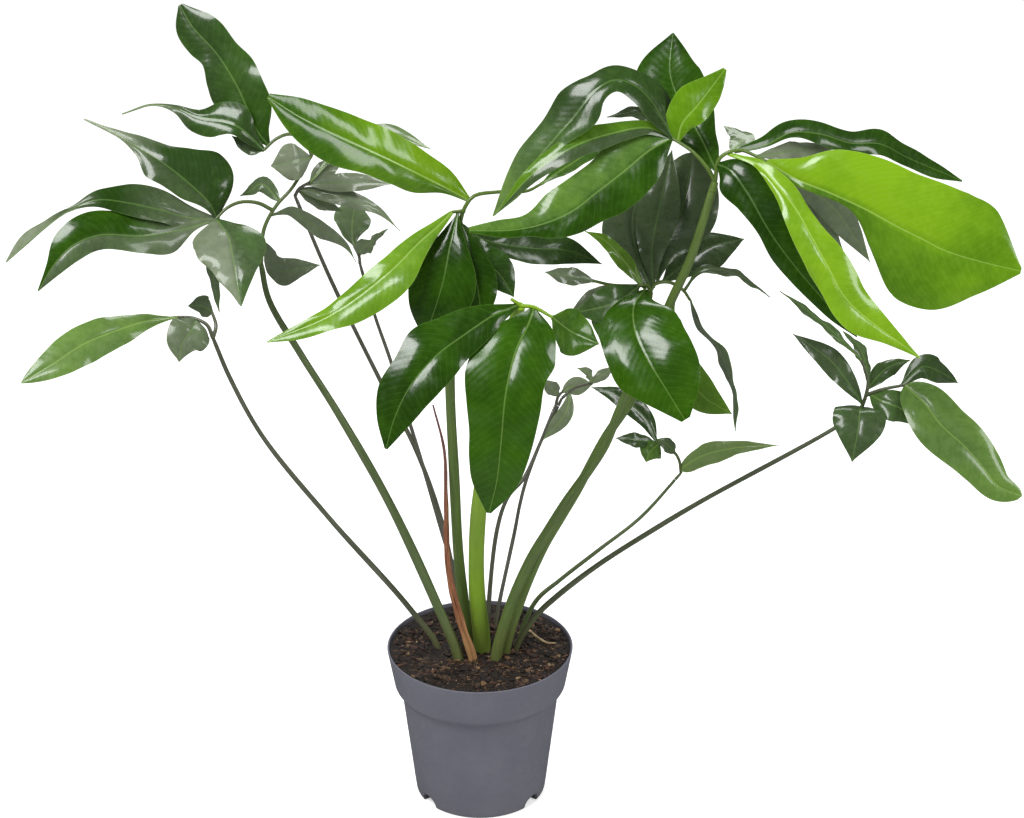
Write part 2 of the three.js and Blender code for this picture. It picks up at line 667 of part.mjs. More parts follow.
// One leaflet as a thin closed blade with a thick midrib, arched halves and waved edges
function blade(leaflet, root, seed) {
  const { width, turn, widest = 0.5, base = 0.9, tail = 1.1, fold = 0.25, curl = 0.3, wave = 1.6 } = leaflet;
  const curve = curveThrough([root, ...leaflet.rib.map(at)]);
  const length = curve.getLength();
  const stations = length > LONG_BLADE ? 9 : length > SHORT_BLADE ? 7 : 5;
  const strips = width < BROAD_BLADE ? 2 : 4;
  const shares = sharesBetween(0, 1, stations - 1);
  const tangents = shares.map((share) => curve.getTangentAt(share));
  const middle = (stations - 1) / 2;
  const facing = EYE.clone().sub(curve.getPointAt(shares[middle])).normalize();
  const square = carryAcross([tangents[middle]], 0, facing)[0];
  const faced = square.applyAxisAngle(tangents[middle], THREE.MathUtils.degToRad(turn));
  const normals = carryAcross(tangents, middle, faced);
  const upper = [];
  const lower = [];
  shares.forEach((share, i) => {
    const centre = curve.getPointAt(share);
    const across = new THREE.Vector3().crossVectors(tangents[i], normals[i]);
    const least = share < 0.5 ? STALKLET_HALF_WIDTH : TIP_HALF_WIDTH;
    const even = (width / 2) * outline(share, widest, base, tail);
    const scale = (PIXEL * nearness(centre)) / Math.cos(THREE.MathUtils.degToRad(turn));
    for (let j = 0; j <= strips; j += 1) {
      const side = (2 * j) / strips - 1;
      const reach = Math.abs(side);
      const seen = side < 0 ? leaflet.left : leaflet.right;
      const half = Math.max(seen ? scale * widthAt(seen, share) : even, least);
      const phase = 2 * Math.PI * (draw(seed + (side < 0 ? 0.3 : 0.7)) + share * (2 + draw(seed + 0.1)));
      const ripple = wave * Math.sin(phase) * Math.sin(Math.PI * share) * reach * reach;
      const rise = half * (fold * reach - curl * reach * reach) + ripple;
      const ribShare = (1 - reach) * (1 - 0.7 * share);
      const place = centre.clone().addScaledVector(across, side * half).addScaledVector(normals[i], rise);
      upper.push(place.clone().addScaledVector(normals[i], BLADE_THICKNESS / 2 + RIB_HEIGHT * ribShare));
      lower.push(place.clone().addScaledVector(normals[i], -BLADE_THICKNESS / 2 - RIB_DEPTH * ribShare));
    }
  });
  const row = strips + 1;
  const under = upper.length;
  const triangles = [];
  for (let i = 0; i < stations - 1; i += 1) {
    for (let j = 0; j < strips; j += 1) {
      const a = i * row + j;
      const [b, c, d] = [a + 1, a + row + 1, a + row];
      triangles.push([a, b, c], [a, c, d]);
      triangles.push([under + a, under + c, under + b], [under + a, under + d, under + c]);
    }
    const left = i * row;
    const right = left + strips;
    triangles.push([left, under + left + row, under + left], [left, left + row, under + left + row]);
    triangles.push([right, under + right, under + right + row], [right, under + right + row, right + row]);
  }
  for (let j = 0; j < strips; j += 1) {
    const first = j;
    const last = (stations - 1) * row + j;
    triangles.push([first, under + first + 1, first + 1], [first, under + first, under + first + 1]);
    triangles.push([last, last + 1, under + last + 1], [last, under + last + 1, under + last]);
  }
  return solidOf([...upper, ...lower], triangles);
}

// A stalk's course: straight up through the soil at its foot, then past its bends to the head
function stalkCourse(foot, bends, head) {
  const ground = new THREE.Vector3(foot[0], foot[1], SOIL_HEIGHT);
  const root = ground.clone().setZ(SOIL_HEIGHT - STALK_DEPTH);
  return curveThrough([root, ground, ...bends.map(at), head]);
}

// A stalk and the hole for it in the soil, which is as wide all round by the clearance
function stalkAndHole(course, radius, top, end) {
  const shares = sharesBetween(HOLE_CLEARANCE / course.getLength(), end, STALK_STEPS, STALK_SPREAD);
  const radii = shares.map((share) => radius + (top - radius) * (share / end));
  const stalk = stem(course, shares, radii, STALK_SIDES);
  const holeRadii = radii.slice(0, 3).map((size) => size + HOLE_CLEARANCE);
  return { stalk, hole: stem(course, [0, shares[1], shares[2]], holeRadii, STALK_SIDES) };
}

// Soil, filling the pot to just below the rim, with lumps that die out towards the wall
function soilSolid() {
  const inner = innerProfile(CLEARANCE);
  const profile = [new THREE.Vector2(0, inner[0].y), ...inner.map(({ x, y }) => new THREE.Vector2(x, y))];
  const wallSlope = (RIM_RADIUS - COLLAR_FOOT_RADIUS) / (RIM_HEIGHT - COLLAR_FOOT_HEIGHT);
  const edge = profile[profile.length - 1];
  edge.set(edge.x - wallSlope * (edge.y - SOIL_HEIGHT), SOIL_HEIGHT);
  SOIL_RINGS.toReversed().forEach((radius) => profile.push(new THREE.Vector2(radius, SOIL_HEIGHT)));
  profile.push(new THREE.Vector2(0, SOIL_HEIGHT));
  const geometry = new THREE.LatheGeometry(profile, POT_SIDES).rotateX(Math.PI / 2);
  const places = geometry.attributes.position;
  for (let i = 0; i < places.count; i += 1) {
    const x = places.getX(i);
    const y = places.getY(i);
    const inside = Math.hypot(x, y) < SOIL_RINGS[SOIL_RINGS.length - 1] + 0.5;
    if (inside && places.getZ(i) > SOIL_HEIGHT - 0.01) {
      const lump = Math.sin(x * 0.21 + 1.3) * Math.sin(y * 0.17) + 0.7 * Math.sin(x * 0.09 - y * 0.31);
      places.setZ(i, SOIL_HEIGHT + SOIL_LUMP * lump * Math.min(1, (RIM_RADIUS - Math.hypot(x, y)) / 40));
    }
  }
  return solidOfGeometry(geometry);
}

// The inside of the pot, from the middle of its floor up to its rim, drawn in by a clearance
function innerProfile(clearance) {
  const wall = POT_WALL + clearance;
  return [
    new THREE.Vector2(FOOT_RADIUS - wall - 1, FLOOR_THICKNESS + clearance),
    new THREE.Vector2(STEP_RADIUS - wall, STEP_HEIGHT + wall),
    new THREE.Vector2(COLLAR_FOOT_RADIUS - wall, COLLAR_FOOT_HEIGHT + wall),
    new THREE.Vector2(RIM_RADIUS - wall, RIM_HEIGHT - 0.6),
  ];
}

// The pot: one turned wall with a collar, a flat floor and arched notches cut through its foot
function potSolid() {
  const outer = [
    new THREE.Vector2(0, 0),
    new THREE.Vector2(FOOT_RADIUS - FOOT_ROUNDING, 0),
    new THREE.Vector2(FOOT_RADIUS, FOOT_ROUNDING),
    new THREE.Vector2(STEP_RADIUS, STEP_HEIGHT),
    new THREE.Vector2(COLLAR_FOOT_RADIUS, COLLAR_FOOT_HEIGHT),
    new THREE.Vector2(RIM_RADIUS, RIM_HEIGHT - 1),
    new THREE.Vector2(RIM_RADIUS - 0.8, RIM_HEIGHT),
    new THREE.Vector2(RIM_RADIUS - POT_WALL + 0.6, RIM_HEIGHT),
  ];
  const inner = innerProfile(0).toReversed();
  const profile = [...outer, ...inner, new THREE.Vector2(0, inner[inner.length - 1].y)];
  const wall = solidOfGeometry(new THREE.LatheGeometry(profile, POT_SIDES).rotateX(Math.PI / 2));
  const arch = new THREE.Shape();
  arch.moveTo(-NOTCH_WIDTH / 2, -1);
  arch.lineTo(NOTCH_WIDTH / 2, -1);
  arch.quadraticCurveTo(NOTCH_WIDTH / 2, NOTCH_HEIGHT, 0, NOTCH_HEIGHT);
  arch.quadraticCurveTo(-NOTCH_WIDTH / 2, NOTCH_HEIGHT, -NOTCH_WIDTH / 2, -1);
  return NOTCH_ANGLES.reduce((pot, angle) => {
    const extent = { depth: NOTCH_REACH + 10, bevelEnabled: false, curveSegments: 5 };
    const cutter = new THREE.ExtrudeGeometry(arch, extent);
    cutter.rotateX(Math.PI / 2).translate(0, -FOOT_RADIUS + NOTCH_REACH, 0);
    cutter.rotateZ(THREE.MathUtils.degToRad(angle));
    return pot.subtract(solidOfGeometry(cutter));
  }, wall);
}

const plant = new THREE.Group();

function addPiece(name, solid, look) {
  const mesh = new THREE.Mesh(geometryOfSolid(solid), look);
  mesh.name = name;
  plant.add(mesh);
}

addPiece("pot", potSolid(), material("#74727c", 0.6));

let soil = soilSolid();
LEAVES.forEach((leaf, number) => {
  const { foot, bends, radius, top } = leaf.stalk;
  const course = stalkCourse(foot, bends, at(leaf.arms[0][0]));
  const neckStart = 1 - NECK_LENGTH / course.getLength();
  const { stalk, hole } = stalkAndHole(course, radius, top, neckStart - CLEARANCE / course.getLength());
  soil = soil.subtract(hole);
  addPiece(`stalk_${leaf.name}`, stalk, material("#5f7c2c", 0.45));

  let head = stem(course, [neckStart, 1], [top, top * 0.8], STALK_SIDES);
  const arms = [];
  leaf.arms.forEach(([first, ...rest]) => {
    const start = typeof first === "number" ? onArm(arms[0], first) : at(first);
    const arm = curveThrough([start, ...rest.map(at)]);
    const shares = sharesBetween(0, 1, ARM_STEPS);
    const radii = shares.map((share) => Math.min(ARM_RADIUS, top) * (1 - share) + ARM_TIP_RADIUS * share);
    head = head.add(stem(arm, shares, radii, ARM_SIDES));
    arms.push(arm);
  });
  leaf.leaflets.forEach((leaflet, place) => {
    head = head.add(blade(leaflet, onArm(arms[leaflet.arm], leaflet.along), 10 * number + place));
  });
  addPiece(`leaf_${leaf.name}`, head, material("#356b12", 0.35));
});

const sheathCourse = stalkCourse(SHEATH.foot, SHEATH.bends, at(SHEATH.tip));
const sheath = stalkAndHole(sheathCourse, SHEATH.radius, SHEATH.top, 1);
soil = soil.subtract(sheath.hole);
addPiece("dry_sheath", sheath.stalk, material("#8a5a35", 0.7));
addPiece("soil", soil, material("#35281d", 0.95));

export default plant;
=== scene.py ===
"""A finger-leaved philodendron in a nursery pot, with finer pieces and materials over the fixed frame.

The table of leaves and the rules that shape them are the ones that the frame was made by, in millimetres,
+Z up, with the front facing -Y. A finer piece therefore keeps the form of the node it stands for. MM turns
places into metres.
"""

import math

import bmesh
import bpy
import numpy as np
from mathutils import Matrix, Vector


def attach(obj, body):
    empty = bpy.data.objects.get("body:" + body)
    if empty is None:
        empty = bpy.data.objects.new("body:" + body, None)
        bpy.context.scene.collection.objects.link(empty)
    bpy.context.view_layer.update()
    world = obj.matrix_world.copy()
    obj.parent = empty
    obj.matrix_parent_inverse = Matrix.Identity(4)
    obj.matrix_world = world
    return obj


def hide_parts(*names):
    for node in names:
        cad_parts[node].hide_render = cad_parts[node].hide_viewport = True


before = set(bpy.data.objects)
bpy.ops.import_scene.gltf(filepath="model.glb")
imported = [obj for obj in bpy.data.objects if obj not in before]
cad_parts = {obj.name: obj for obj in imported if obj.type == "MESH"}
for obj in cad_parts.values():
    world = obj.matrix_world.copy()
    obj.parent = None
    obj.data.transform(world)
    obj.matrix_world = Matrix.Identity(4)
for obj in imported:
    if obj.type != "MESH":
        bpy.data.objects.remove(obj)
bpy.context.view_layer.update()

MM = 0.001

# Pot, as radii and heights
RIM_HEIGHT, RIM_RADIUS = 170, 97
COLLAR_FOOT_HEIGHT, COLLAR_FOOT_RADIUS = 128, 89.5
STEP_HEIGHT, STEP_RADIUS = 120, 82.4
FOOT_RADIUS = 68.5
POT_WALL, FLOOR_THICKNESS = 2, 2.5
NOTCH_WIDTH, NOTCH_HEIGHT, NOTCH_REACH = 22, 12, 14
NOTCH_ANGLES = [52, 180, -52]
POT_SIDES, CORNER_STEPS, NOTCH_STEPS = 168, 6, 9
SIDE_RINGS = (NOTCH_HEIGHT + 1.5, 40, 80)

# Soil and what lies on it
SOIL_HEIGHT = 166.5
SOIL_LUMP = 1.6
SOIL_SIDES, SOIL_RINGS = 220, 64
SOIL_EDGE_DEPTH = 12
CLEARANCE = 0.3
LITTER_RADIUS = 92
CHIPS, FIBRES, SPECKS = 1500, 320, 150

# Leaves
STALK_DEPTH = 24
STALK_SIDES, STALK_STEPS = 22, 70
NECK_LENGTH, NECK_SIDES, NECK_STEPS = 9, 16, 6
ARM_RADIUS, ARM_TIP_RADIUS = 2.2, 1.5
ARM_SIDES, ARM_STATIONS = 12, 22
ARM_PIECES = 4
BLADE_THICKNESS = 0.6
RIB_DEPTH, RIB_HEIGHT, RIB_HALF_WIDTH = 1.3, 0.35, 1.5
STALKLET_HALF_WIDTH, TIP_HALF_WIDTH = 1.6, 0.35
BLADE_STEP, STRIP_STEP = 2.6, 3.2
FOLD, CURL = 0.25, 0.3
BUCKLE, BUCKLE_SIZE = 0.8, 34

# Where the photograph was taken from: in front and a little above. A pixel is a millimetre at the aim.
PHOTO_WIDTH = 1024
PHOTO_CENTRE = (512, 409)
PIXEL = 1
VIEW_DISTANCE = 2500
VIEW_PITCH = math.radians(24.5)
VIEW_AIM = np.array([33.4, 0, 441])
VIEW_FORWARD = np.array([0, math.cos(VIEW_PITCH), -math.sin(VIEW_PITCH)])
VIEW_RIGHT = np.array([1.0, 0, 0])
VIEW_UP = np.array([0, math.sin(VIEW_PITCH), math.cos(VIEW_PITCH)])
EYE = VIEW_AIM - VIEW_DISTANCE * VIEW_FORWARD

# Studio light
FILL_LIGHT, FILL_IN_REFLECTIONS = 0.5, 0.04
FLOOR_LIGHT, FLOOR_IN_REFLECTIONS, FLOOR_GLOW = 0.84, 0.14, 0.5

# The leaves. A stalk has its foot on the soil, its thickness there and at its head, its tone, and the
# bends between, as columns and rows of the photograph with depths behind the pot's axis. Arms and midribs
# are drawn the same way. An arm that branches starts with its share of the first arm. A leaflet sits on
# an arm at a share along it, and turns about its midrib by this many degrees from facing the view. The
# edge of a leaflet waves this far up and down. An even leaflet is as wide as given at its widest share,
# and a low base or tail makes that end of it blunt. For the others, left and right say how far the blade
# reaches beside its midrib, in pixels, at nine even steps from root to tip. A stalk's tone is its youth
# and its duskiness, and a leaflet's is its youth and its greyness, a pale grey painted sheen that stands
# in for the bright studio reflected in the wax. Where a leaflet changes, a second tone says what its left
# or right half, its root or its tip turns to. These second tones are mostly painted light: a half or tip
# darkened as painted shade where it turns away from the lamps, or paled as a painted highlight or sheen;
# the rest is the leaflet's own tone.
USUAL_LEAFLET = dict(arm=0, along=1, turn=0, widest=0.5, base=0.9, tail=1.1, wave=1.6)
LEAVES = [
    dict(name="a",
         stalk=dict(foot=[-44, 0], radius=3.4, top=2.2, tone=(0.1, 0.75),
                    bends=[[407, 605, 0], [330, 519, -12], [263, 437, -24], [230, 378, -32]]),
         arms=[[[213, 338, -36], [207, 325, -34], [193, 318, -30], [178, 317, -28]],
               [0, [216, 326, -30], [212, 312, -18]]],
         leaflets=[
            dict(width=39, turn=20, widest=0.58, tail=0.8, tone=(0.5, 0.3),
                 rib=[[143, 322, -50], [113, 332, -72], [82, 345, -94], [56, 362, -112], [21, 383, -130]]),
            dict(along=0.6, width=42, widest=0.45, tone=(0.1, 0.6),
                 rib=[[192, 330, -50], [182, 344, -60], [179, 362, -66]]),
            dict(arm=1, width=22, turn=-20, widest=0.4, tone=(0, 0.35),
                 rib=[[203, 306, -6], [188, 306, 2]]),
         ]),
    dict(name="b",
         stalk=dict(foot=[-22, -21], radius=6, top=3, tone=(0.3, 0.35),
                    bends=[[435, 600, -21], [389, 502, -18], [338, 413, -12], [300, 353, -8],
                           [269, 300, -4]]),
         arms=[[[261, 264, 0], [264, 229, 2], [276, 206, 6], [292, 188, 12], [312, 155, 20]],
               [0.46, [258, 203, 2], [241, 202, -4], [227, 208, -10], [216, 219, -16]],
               [1, [305, 140, 18], [290, 134, 14], [276, 139, 10], [264, 150, 6]]],
         leaflets=[
            dict(arm=1, width=76, tone=(0.12, 0.22), right_tone_and_painted_light=(0.1, 0.85),
                 left=[1.8, 12, 22, 34, 34, 27, 18, 9, 0.8],
                 right=[1.8, 30, 36, 36, 34, 24, 18, 8, 0.8],
                 rib=[[228, 236, -44], [232, 252, -62], [236, 276, -82], [241, 306, -98]]),
            dict(arm=1, along=0.98, width=60, turn=20, tone=(0.04, 0.06), left_tone_and_painted_light=(0.05, 0.2),
                 tip_tone_and_painted_light=(0.1, 1),
                 left=[1.8, 8, 16, 18, 20, 7, 2.5, 1.5, 0.6],
                 right=[1.8, 36, 43, 30, 19, 14, 7, 2.5, 0.6],
                 rib=[[209, 203, -18], [193, 187, -14], [163, 163, -8], [140, 149, 0], [110, 131, 8],
                      [84, 119, 14]]),
            dict(arm=1, width=36, turn=20, tone=(0.04, 0.02), root_tone_and_painted_light=(0.05, 0.7), tip_tone_and_painted_light=(0.15, 1),
                 left=[1.8, 10, 12, 13, 8, 2, 1, 1.5, 0.6],
                 right=[1.8, 14, 21, 20, 12, 3, 5, 9, 0.6],
                 rib=[[190, 218, -24], [160, 210, -38], [128, 203, -48], [98, 200, -56], [70, 210, -62],
                      [32, 238, -68], [6, 262, -72]]),
            dict(arm=1, width=40, turn=15, tone=(0.14, 0), left_tone_and_painted_light=(0.1, 0.3), root_tone_and_painted_light=(0.1, 0.85),
                 left=[1.8, 5, 20, 17.5, 15, 14, 15, 10, 0.6],
                 right=[1.8, 6, 12, 19, 23, 25, 19, 6, 0.6],
                 rib=[[180, 230, -36], [141, 236, -58], [100, 235, -74], [72, 246, -86], [53, 266, -96],
                      [38, 291, -104]]),
            dict(arm=1, along=0.95, width=26, turn=60, widest=0.45, tone=(0, 0.3),
                 rib=[[213, 268, -28], [219, 312, -42]]),
            dict(along=0.2, width=28, turn=-15, tone=(0, 0.6),
                 rib=[[280, 271, 20], [300, 268, 40], [320, 265, 54]]),
            dict(along=0.55, width=16, turn=10, widest=0.45, tone=(0.15, 0.4),
                 rib=[[262, 184, 20], [250, 191, 24], [240, 196, 26]]),
            dict(along=0.98, width=36, tone=(0.05, 0.95),
                 rib=[[296, 161, 8], [271, 166, -4]]),
            dict(arm=2, along=0.9, width=58, turn=-10, wave=4, tone=(0.1, 0.08), root_tone_and_painted_light=(0, 0),
                 left=[1.8, 10, 22, 30, 26, 18, 20, 17, 2],
                 right=[1.8, 15, 25, 26, 26, 21.5, 24, 19, 3],
                 rib=[[258, 132, 8], [248, 110, 16], [237, 86, 24], [217, 54, 34], [192, 26, 44],
                      [180, 5, 52]]),
            dict(arm=2, width=38, turn=10, tone=(0.03, 0.08), tip_tone_and_painted_light=(0.05, 0.9),
                 left=[1.8, 8, 10, 17.5, 15, 6, 1.4, 1, 0.6],
                 right=[1.8, 8, 22, 18, 8, 3, 1.4, 1, 0.6],
                 rib=[[240, 128, 0], [222, 121, 4], [198, 117, 10], [176, 108, 16], [150, 105, 22],
                      [122, 114, 26]]),
            dict(arm=2, width=14, turn=20, widest=0.45, tone=(0, 0.3),
                 rib=[[250, 148, 10], [232, 136, 14]]),
            dict(along=0.42, width=16, turn=10, tail=1.5, tone=(0.1, 0.8),
                 rib=[[290, 211, 24], [302, 217, 34], [318, 228, 50], [346, 246, 70], [356, 262, 76]]),
         ]),
    dict(name="c",
         stalk=dict(foot=[-19, 42], radius=3, top=2, tone=(0, 0.9),
                    bends=[[441, 520, 62], [416, 450, 76], [380, 380, 92], [330, 278, 116]]),
         arms=[[[295, 196, 136], [299, 189, 134], [310, 182, 130]]],
         leaflets=[
            dict(width=20, turn=-20, tone=(0.1, 0.9),
                 rib=[[322, 172, 140], [342, 162, 150]]),
            dict(along=0.8, width=20, turn=-10, tone=(0, 0.9),
                 rib=[[320, 184, 128], [350, 182, 118], [391, 184, 108]]),
            dict(along=0.4, width=18, turn=-10, widest=0.4, tail=1.5, tone=(0.05, 0.95),
                 rib=[[320, 193, 130], [350, 199, 118], [380, 212, 104], [400, 231, 96]]),
            dict(along=0.3, width=15, turn=-20, tone=(0.15, 0.9),
                 rib=[[318, 201, 138], [342, 211, 136]]),
            dict(width=16, turn=-30, widest=0.6, tone=(0.35, 0.5),
                 rib=[[340, 150, 146], [385, 131, 138], [431, 149, 120]]),
         ]),
    dict(name="d",
         stalk=dict(foot=[-10, 60], radius=2.6, top=1.8, tone=(0, 0.9),
                    bends=[[446, 545, 82], [424, 470, 104], [408, 417, 120], [390, 359, 140],
                           [375, 316, 158]]),
         arms=[[[360, 264, 186], [359, 256, 190], [355, 248, 192]]],
         leaflets=[
            dict(width=40, turn=10, widest=0.6, tone=(0.3, 0.5),
                 rib=[[352, 234, 200], [353, 216, 216], [357, 200, 230]]),
            dict(along=0.5, width=9, turn=40, tone=(0.1, 0.8),
                 rib=[[368, 246, 194], [378, 236, 202], [388, 229, 208]]),
            dict(along=0.6, width=20, turn=20, tone=(0.3, 0.7),
                 rib=[[364, 247, 178], [374, 240, 170]]),
         ]),
    dict(name="e",
         stalk=dict(foot=[-12.5, 10], radius=6.2, top=4.6, tone=(0.45, 0.15),
                    bends=[[459, 560, 0], [454, 470, -14], [450, 380, -30], [452, 300, -45]]),
         arms=[[[459, 226, -58], [465, 207, -60], [474, 196, -58], [497, 192, -50], [527, 191, -40],
                [541, 184, -32]],
               [0.16, [452, 212, -66]]],
         leaflets=[
            dict(along=0.28, width=60, turn=15, tone=(0.85, 0), left_tone_and_painted_light=(0.5, 0.03),
                 tip_tone_and_painted_light=(0.35, 0.02),
                 left=[1.8, 6, 18, 21, 23, 28, 26, 17, 2],
                 right=[1.8, 18, 23, 26, 27, 26, 22.5, 17, 4],
                 rib=[[440, 185, -66], [400, 165, -84], [345, 139, -104], [300, 117, -118],
                      [268, 97, -128]]),
            dict(arm=1, width=50, turn=20, tone=(0.72, 0.05),
                 left=[1.8, 7, 15, 24, 23.5, 20, 13, 9, 0.6],
                 right=[1.8, 8, 12.5, 14, 15, 12, 8.5, 5, 0.6],
                 rib=[[438, 226, -78], [420, 242, -90], [392, 270, -110], [364, 293, -124],
                      [328, 317, -138], [267, 342, -152]]),
            dict(arm=1, along=0.5, width=64, turn=10, widest=0.6, tail=0.7, tone=(0.1, 0),
                 rib=[[450, 246, -80], [443, 282, -92], [426, 336, -98]]),
            dict(along=0.05, width=40, turn=-10, widest=0.6, tone=(0.05, 0),
                 rib=[[470, 255, -76], [478, 290, -86], [482, 325, -90]]),
            dict(width=15, turn=-20, tone=(0.35, 0.1),
                 rib=[[560, 171, -10], [600, 147, 20], [625, 139, 40]]),
            dict(along=0.03, width=32, turn=-20, widest=0.6, tone=(0, 0.1),
                 rib=[[485, 240, -44], [530, 248, -20], [570, 251, 0], [602, 264, 16]]),
            dict(along=0.03, width=36, turn=-10, widest=0.6, tone=(0.08, 0.05),
                 rib=[[482, 258, -62], [500, 275, -66], [514, 297, -70]]),
         ]),
    dict(name="f",
         stalk=dict(foot=[3, -2], radius=9.6, top=6, tone=(1, 0),
                    bends=[[477, 590, -14], [478, 520, -45], [490, 430, -100], [506, 350, -155]]),
         arms=[[[520, 306, -186], [517, 303, -187], [514, 301, -188], [511, 299, -188]],
               [0, [533, 307, -186], [552, 317, -184]]],
         leaflets=[
            dict(along=0.15, width=66, turn=10, tone=(0.1, 0),
                 left=[1.8, 10, 18, 21.5, 27, 27.5, 23, 15, 1.5],
                 right=[1.8, 10, 22, 30, 36, 29, 28, 17, 1.5],
                 rib=[[494, 315, -206], [464, 335, -222], [436, 356, -240], [411, 385, -254],
                      [395, 417, -264], [386, 449, -270]]),
            dict(arm=1, along=0.4, width=88, tone=(0.22, 0),
                 left=[1.8, 31, 42, 37, 37, 33.5, 28, 19, 2],
                 right=[1.8, 20, 37, 44, 38, 33, 30.5, 23.5, 3],
                 rib=[[528, 325, -208], [516, 350, -226], [506, 392, -248], [501, 443, -258],
                      [497, 480, -261], [489, 513, -262]]),
            dict(arm=1, width=44, turn=-20, tone=(0.35, 0.05),
                 rib=[[572, 332, -170], [599, 344, -160]]),
         ]),
    dict(name="g",
         stalk=dict(foot=[16.7, -21], radius=6.2, top=4, tone=(0.4, 0.2),
                    bends=[[511, 604, -26], [530, 561, -34], [548, 531, -42], [566, 502, -50],
                           [587, 473, -56], [605, 445, -60], [618, 413, -66], [628, 388, -68]]),
         arms=[[[650, 292, -60], [648, 286, -60], [633, 286, -58], [612, 285, -54], [594, 281, -50]],
               [0, [655, 284, -54], [668, 282, -48], [683, 290, -40], [690, 300, -40]]],
         leaflets=[
            dict(along=0.1, width=94, tone=(0.22, 0),
                 left=[1.8, 16, 39, 46, 47, 47, 43, 30, 6],
                 right=[1.8, 22, 43, 37, 38, 39, 30, 17, 4],
                 rib=[[634, 306, -90], [635, 330, -112], [647, 358, -132], [664, 386, -148],
                      [685, 420, -160]]),
            dict(along=0.25, width=36, tone=(0.15, 0.15),
                 rib=[[615, 303, -84], [574, 313, -100]]),
            dict(along=0.6, width=20, turn=10, tone=(0, 0.7),
                 rib=[[600, 296, -64], [572, 310, -74]]),
            dict(width=18, turn=20, tone=(0, 0.6),
                 rib=[[575, 277, -44], [545, 272, -40]]),
            dict(arm=1, along=0.05, width=60, turn=20, tone=(0, 0.3),
                 rib=[[640, 262, -44], [632, 225, -10], [640, 185, 30]]),
            dict(arm=1, along=0.2, width=70, turn=-10, widest=0.6, tail=0.6, tone=(0, 0.3),
                 rib=[[662, 252, -30], [680, 215, 10], [694, 152, 48]]),
            dict(arm=1, along=0.1, width=40, widest=0.55, tone=(0, 0.3),
                 rib=[[652, 250, -40], [660, 205, 0], [672, 150, 30]]),
            dict(arm=1, along=0.3, width=46, turn=-20, widest=0.55, tone=(0, 0.2),
                 rib=[[690, 260, -14], [712, 246, 16], [744, 239, 44]]),
            dict(arm=1, width=24, turn=70, widest=0.4, tone=(0.1, 0.4),
                 rib=[[700, 328, -50], [719, 350, -58], [729, 376, -62], [735, 405, -62], [735, 431, -60]]),
            dict(arm=1, along=0.6, width=34, widest=0.7, tone=(0.5, 0.1),
                 rib=[[672, 335, -50], [686, 372, -70], [703, 396, -82], [732, 414, -92]]),
            dict(arm=1, along=0.8, width=20, turn=-65, widest=0.6, tone=(0.1, 0.4),
                 rib=[[700, 271, -28], [722, 270, -14], [746, 279, 2], [770, 297, 18]]),
            dict(along=0.1, width=16, turn=20, tone=(0.6, 0.1),
                 rib=[[625, 262, -54], [604, 240, -46], [585, 231, -42]]),
         ]),
    dict(name="h",
         stalk=dict(foot=[25.5, -9], radius=6, top=4.2, tone=(0.5, 0.2),
                    bends=[[519, 604, -8], [543, 547, -20], [560, 518, -28], [577, 490, -34],
                           [604, 440, -42], [638, 388, -54], [668, 308, -78], [690, 260, -80],
                           [705, 215, -76]]),
         arms=[[[715, 182, -70], [707, 168, -72], [693, 152, -76], [672, 138, -80]],
               [0, [720, 158, -72], [738, 150, -72], [766, 161, -66]]],
         leaflets=[
            dict(width=66, turn=10, tone=(0.13, 0), right_tone_and_painted_light=(0.42, 0.15),
                 left=[1.8, 23, 31, 31.5, 24.5, 20.5, 9, 6.5, 2],
                 right=[1.8, 24, 31, 28, 29, 27, 14, 11, 4],
                 rib=[[650, 150, -94], [622, 173, -108], [596, 193, -120], [574, 210, -130],
                      [546, 223, -137], [513, 230, -142], [469, 231, -146]]),
            dict(along=0.98, width=46, turn=25, tone=(0, 0.08), tip_tone_and_painted_light=(0.45, 0.3),
                 left=[1.8, 17, 16, 11, 20, 12, 10, 8, 0.6],
                 right=[1.8, 26, 18, 15, 27, 22, 20, 12.5, 0.6],
                 rib=[[656, 108, -78], [637, 87, -80], [615, 80, -84], [594, 92, -90], [574, 117, -95],
                      [534, 163, -100], [493, 216, -98]]),
            dict(along=0.95, width=24, turn=20, widest=0.45, tone=(0.5, 0.05), left_tone_and_painted_light=(0, 0.2),
                 rib=[[648, 128, -84], [610, 134, -94], [575, 146, -106], [535, 172, -114],
                      [495, 215, -114]]),
            dict(arm=1, along=0.15, width=72, tone=(0.12, 0),
                 left=[1.8, 10, 18, 28, 36, 40, 38, 23, 0.8],
                 right=[1.8, 11, 16, 26, 32, 32, 29, 18, 0.8],
                 rib=[[702, 140, -40], [680, 102, -4], [670, 72, 24], [673, 33, 50]]),
            dict(along=0.9, width=38, turn=10, tone=(0.62, 0),
                 left=[1.8, 14, 20, 24, 24, 20, 14, 8, 2],
                 right=[1.8, 8, 12, 15, 16, 15, 12, 8, 2],
                 rib=[[682, 124, -76], [697, 106, -68], [711, 88, -58], [725, 69, -50]]),
            dict(arm=1, along=0.55, width=36, turn=-20, wave=2, tone=(0.08, 0.02),
                 left=[1.8, 9, 12.5, 11.5, 12, 16, 11, 8, 0.8],
                 right=[1.8, 2, 6, 10.5, 10, 12, 9, 8, 0.8],
                 rib=[[766, 145, -56], [790, 133, -44], [820, 134, -28], [850, 143, -14], [880, 144, 0],
                      [906, 157, 14], [962, 181, 40]]),
            dict(arm=1, along=0.85, width=18, turn=-20, tone=(0.1, 0.95),
                 rib=[[785, 152, -46], [805, 149, -26], [834, 149, -6]]),
            dict(arm=1, width=128, tone=(1, 0), right_tone_and_painted_light=(0.5, 0.02), tip_tone_and_painted_light=(0.66, 0),
                 left=[1.8, 21, 43, 52, 55, 59, 61, 51, 3],
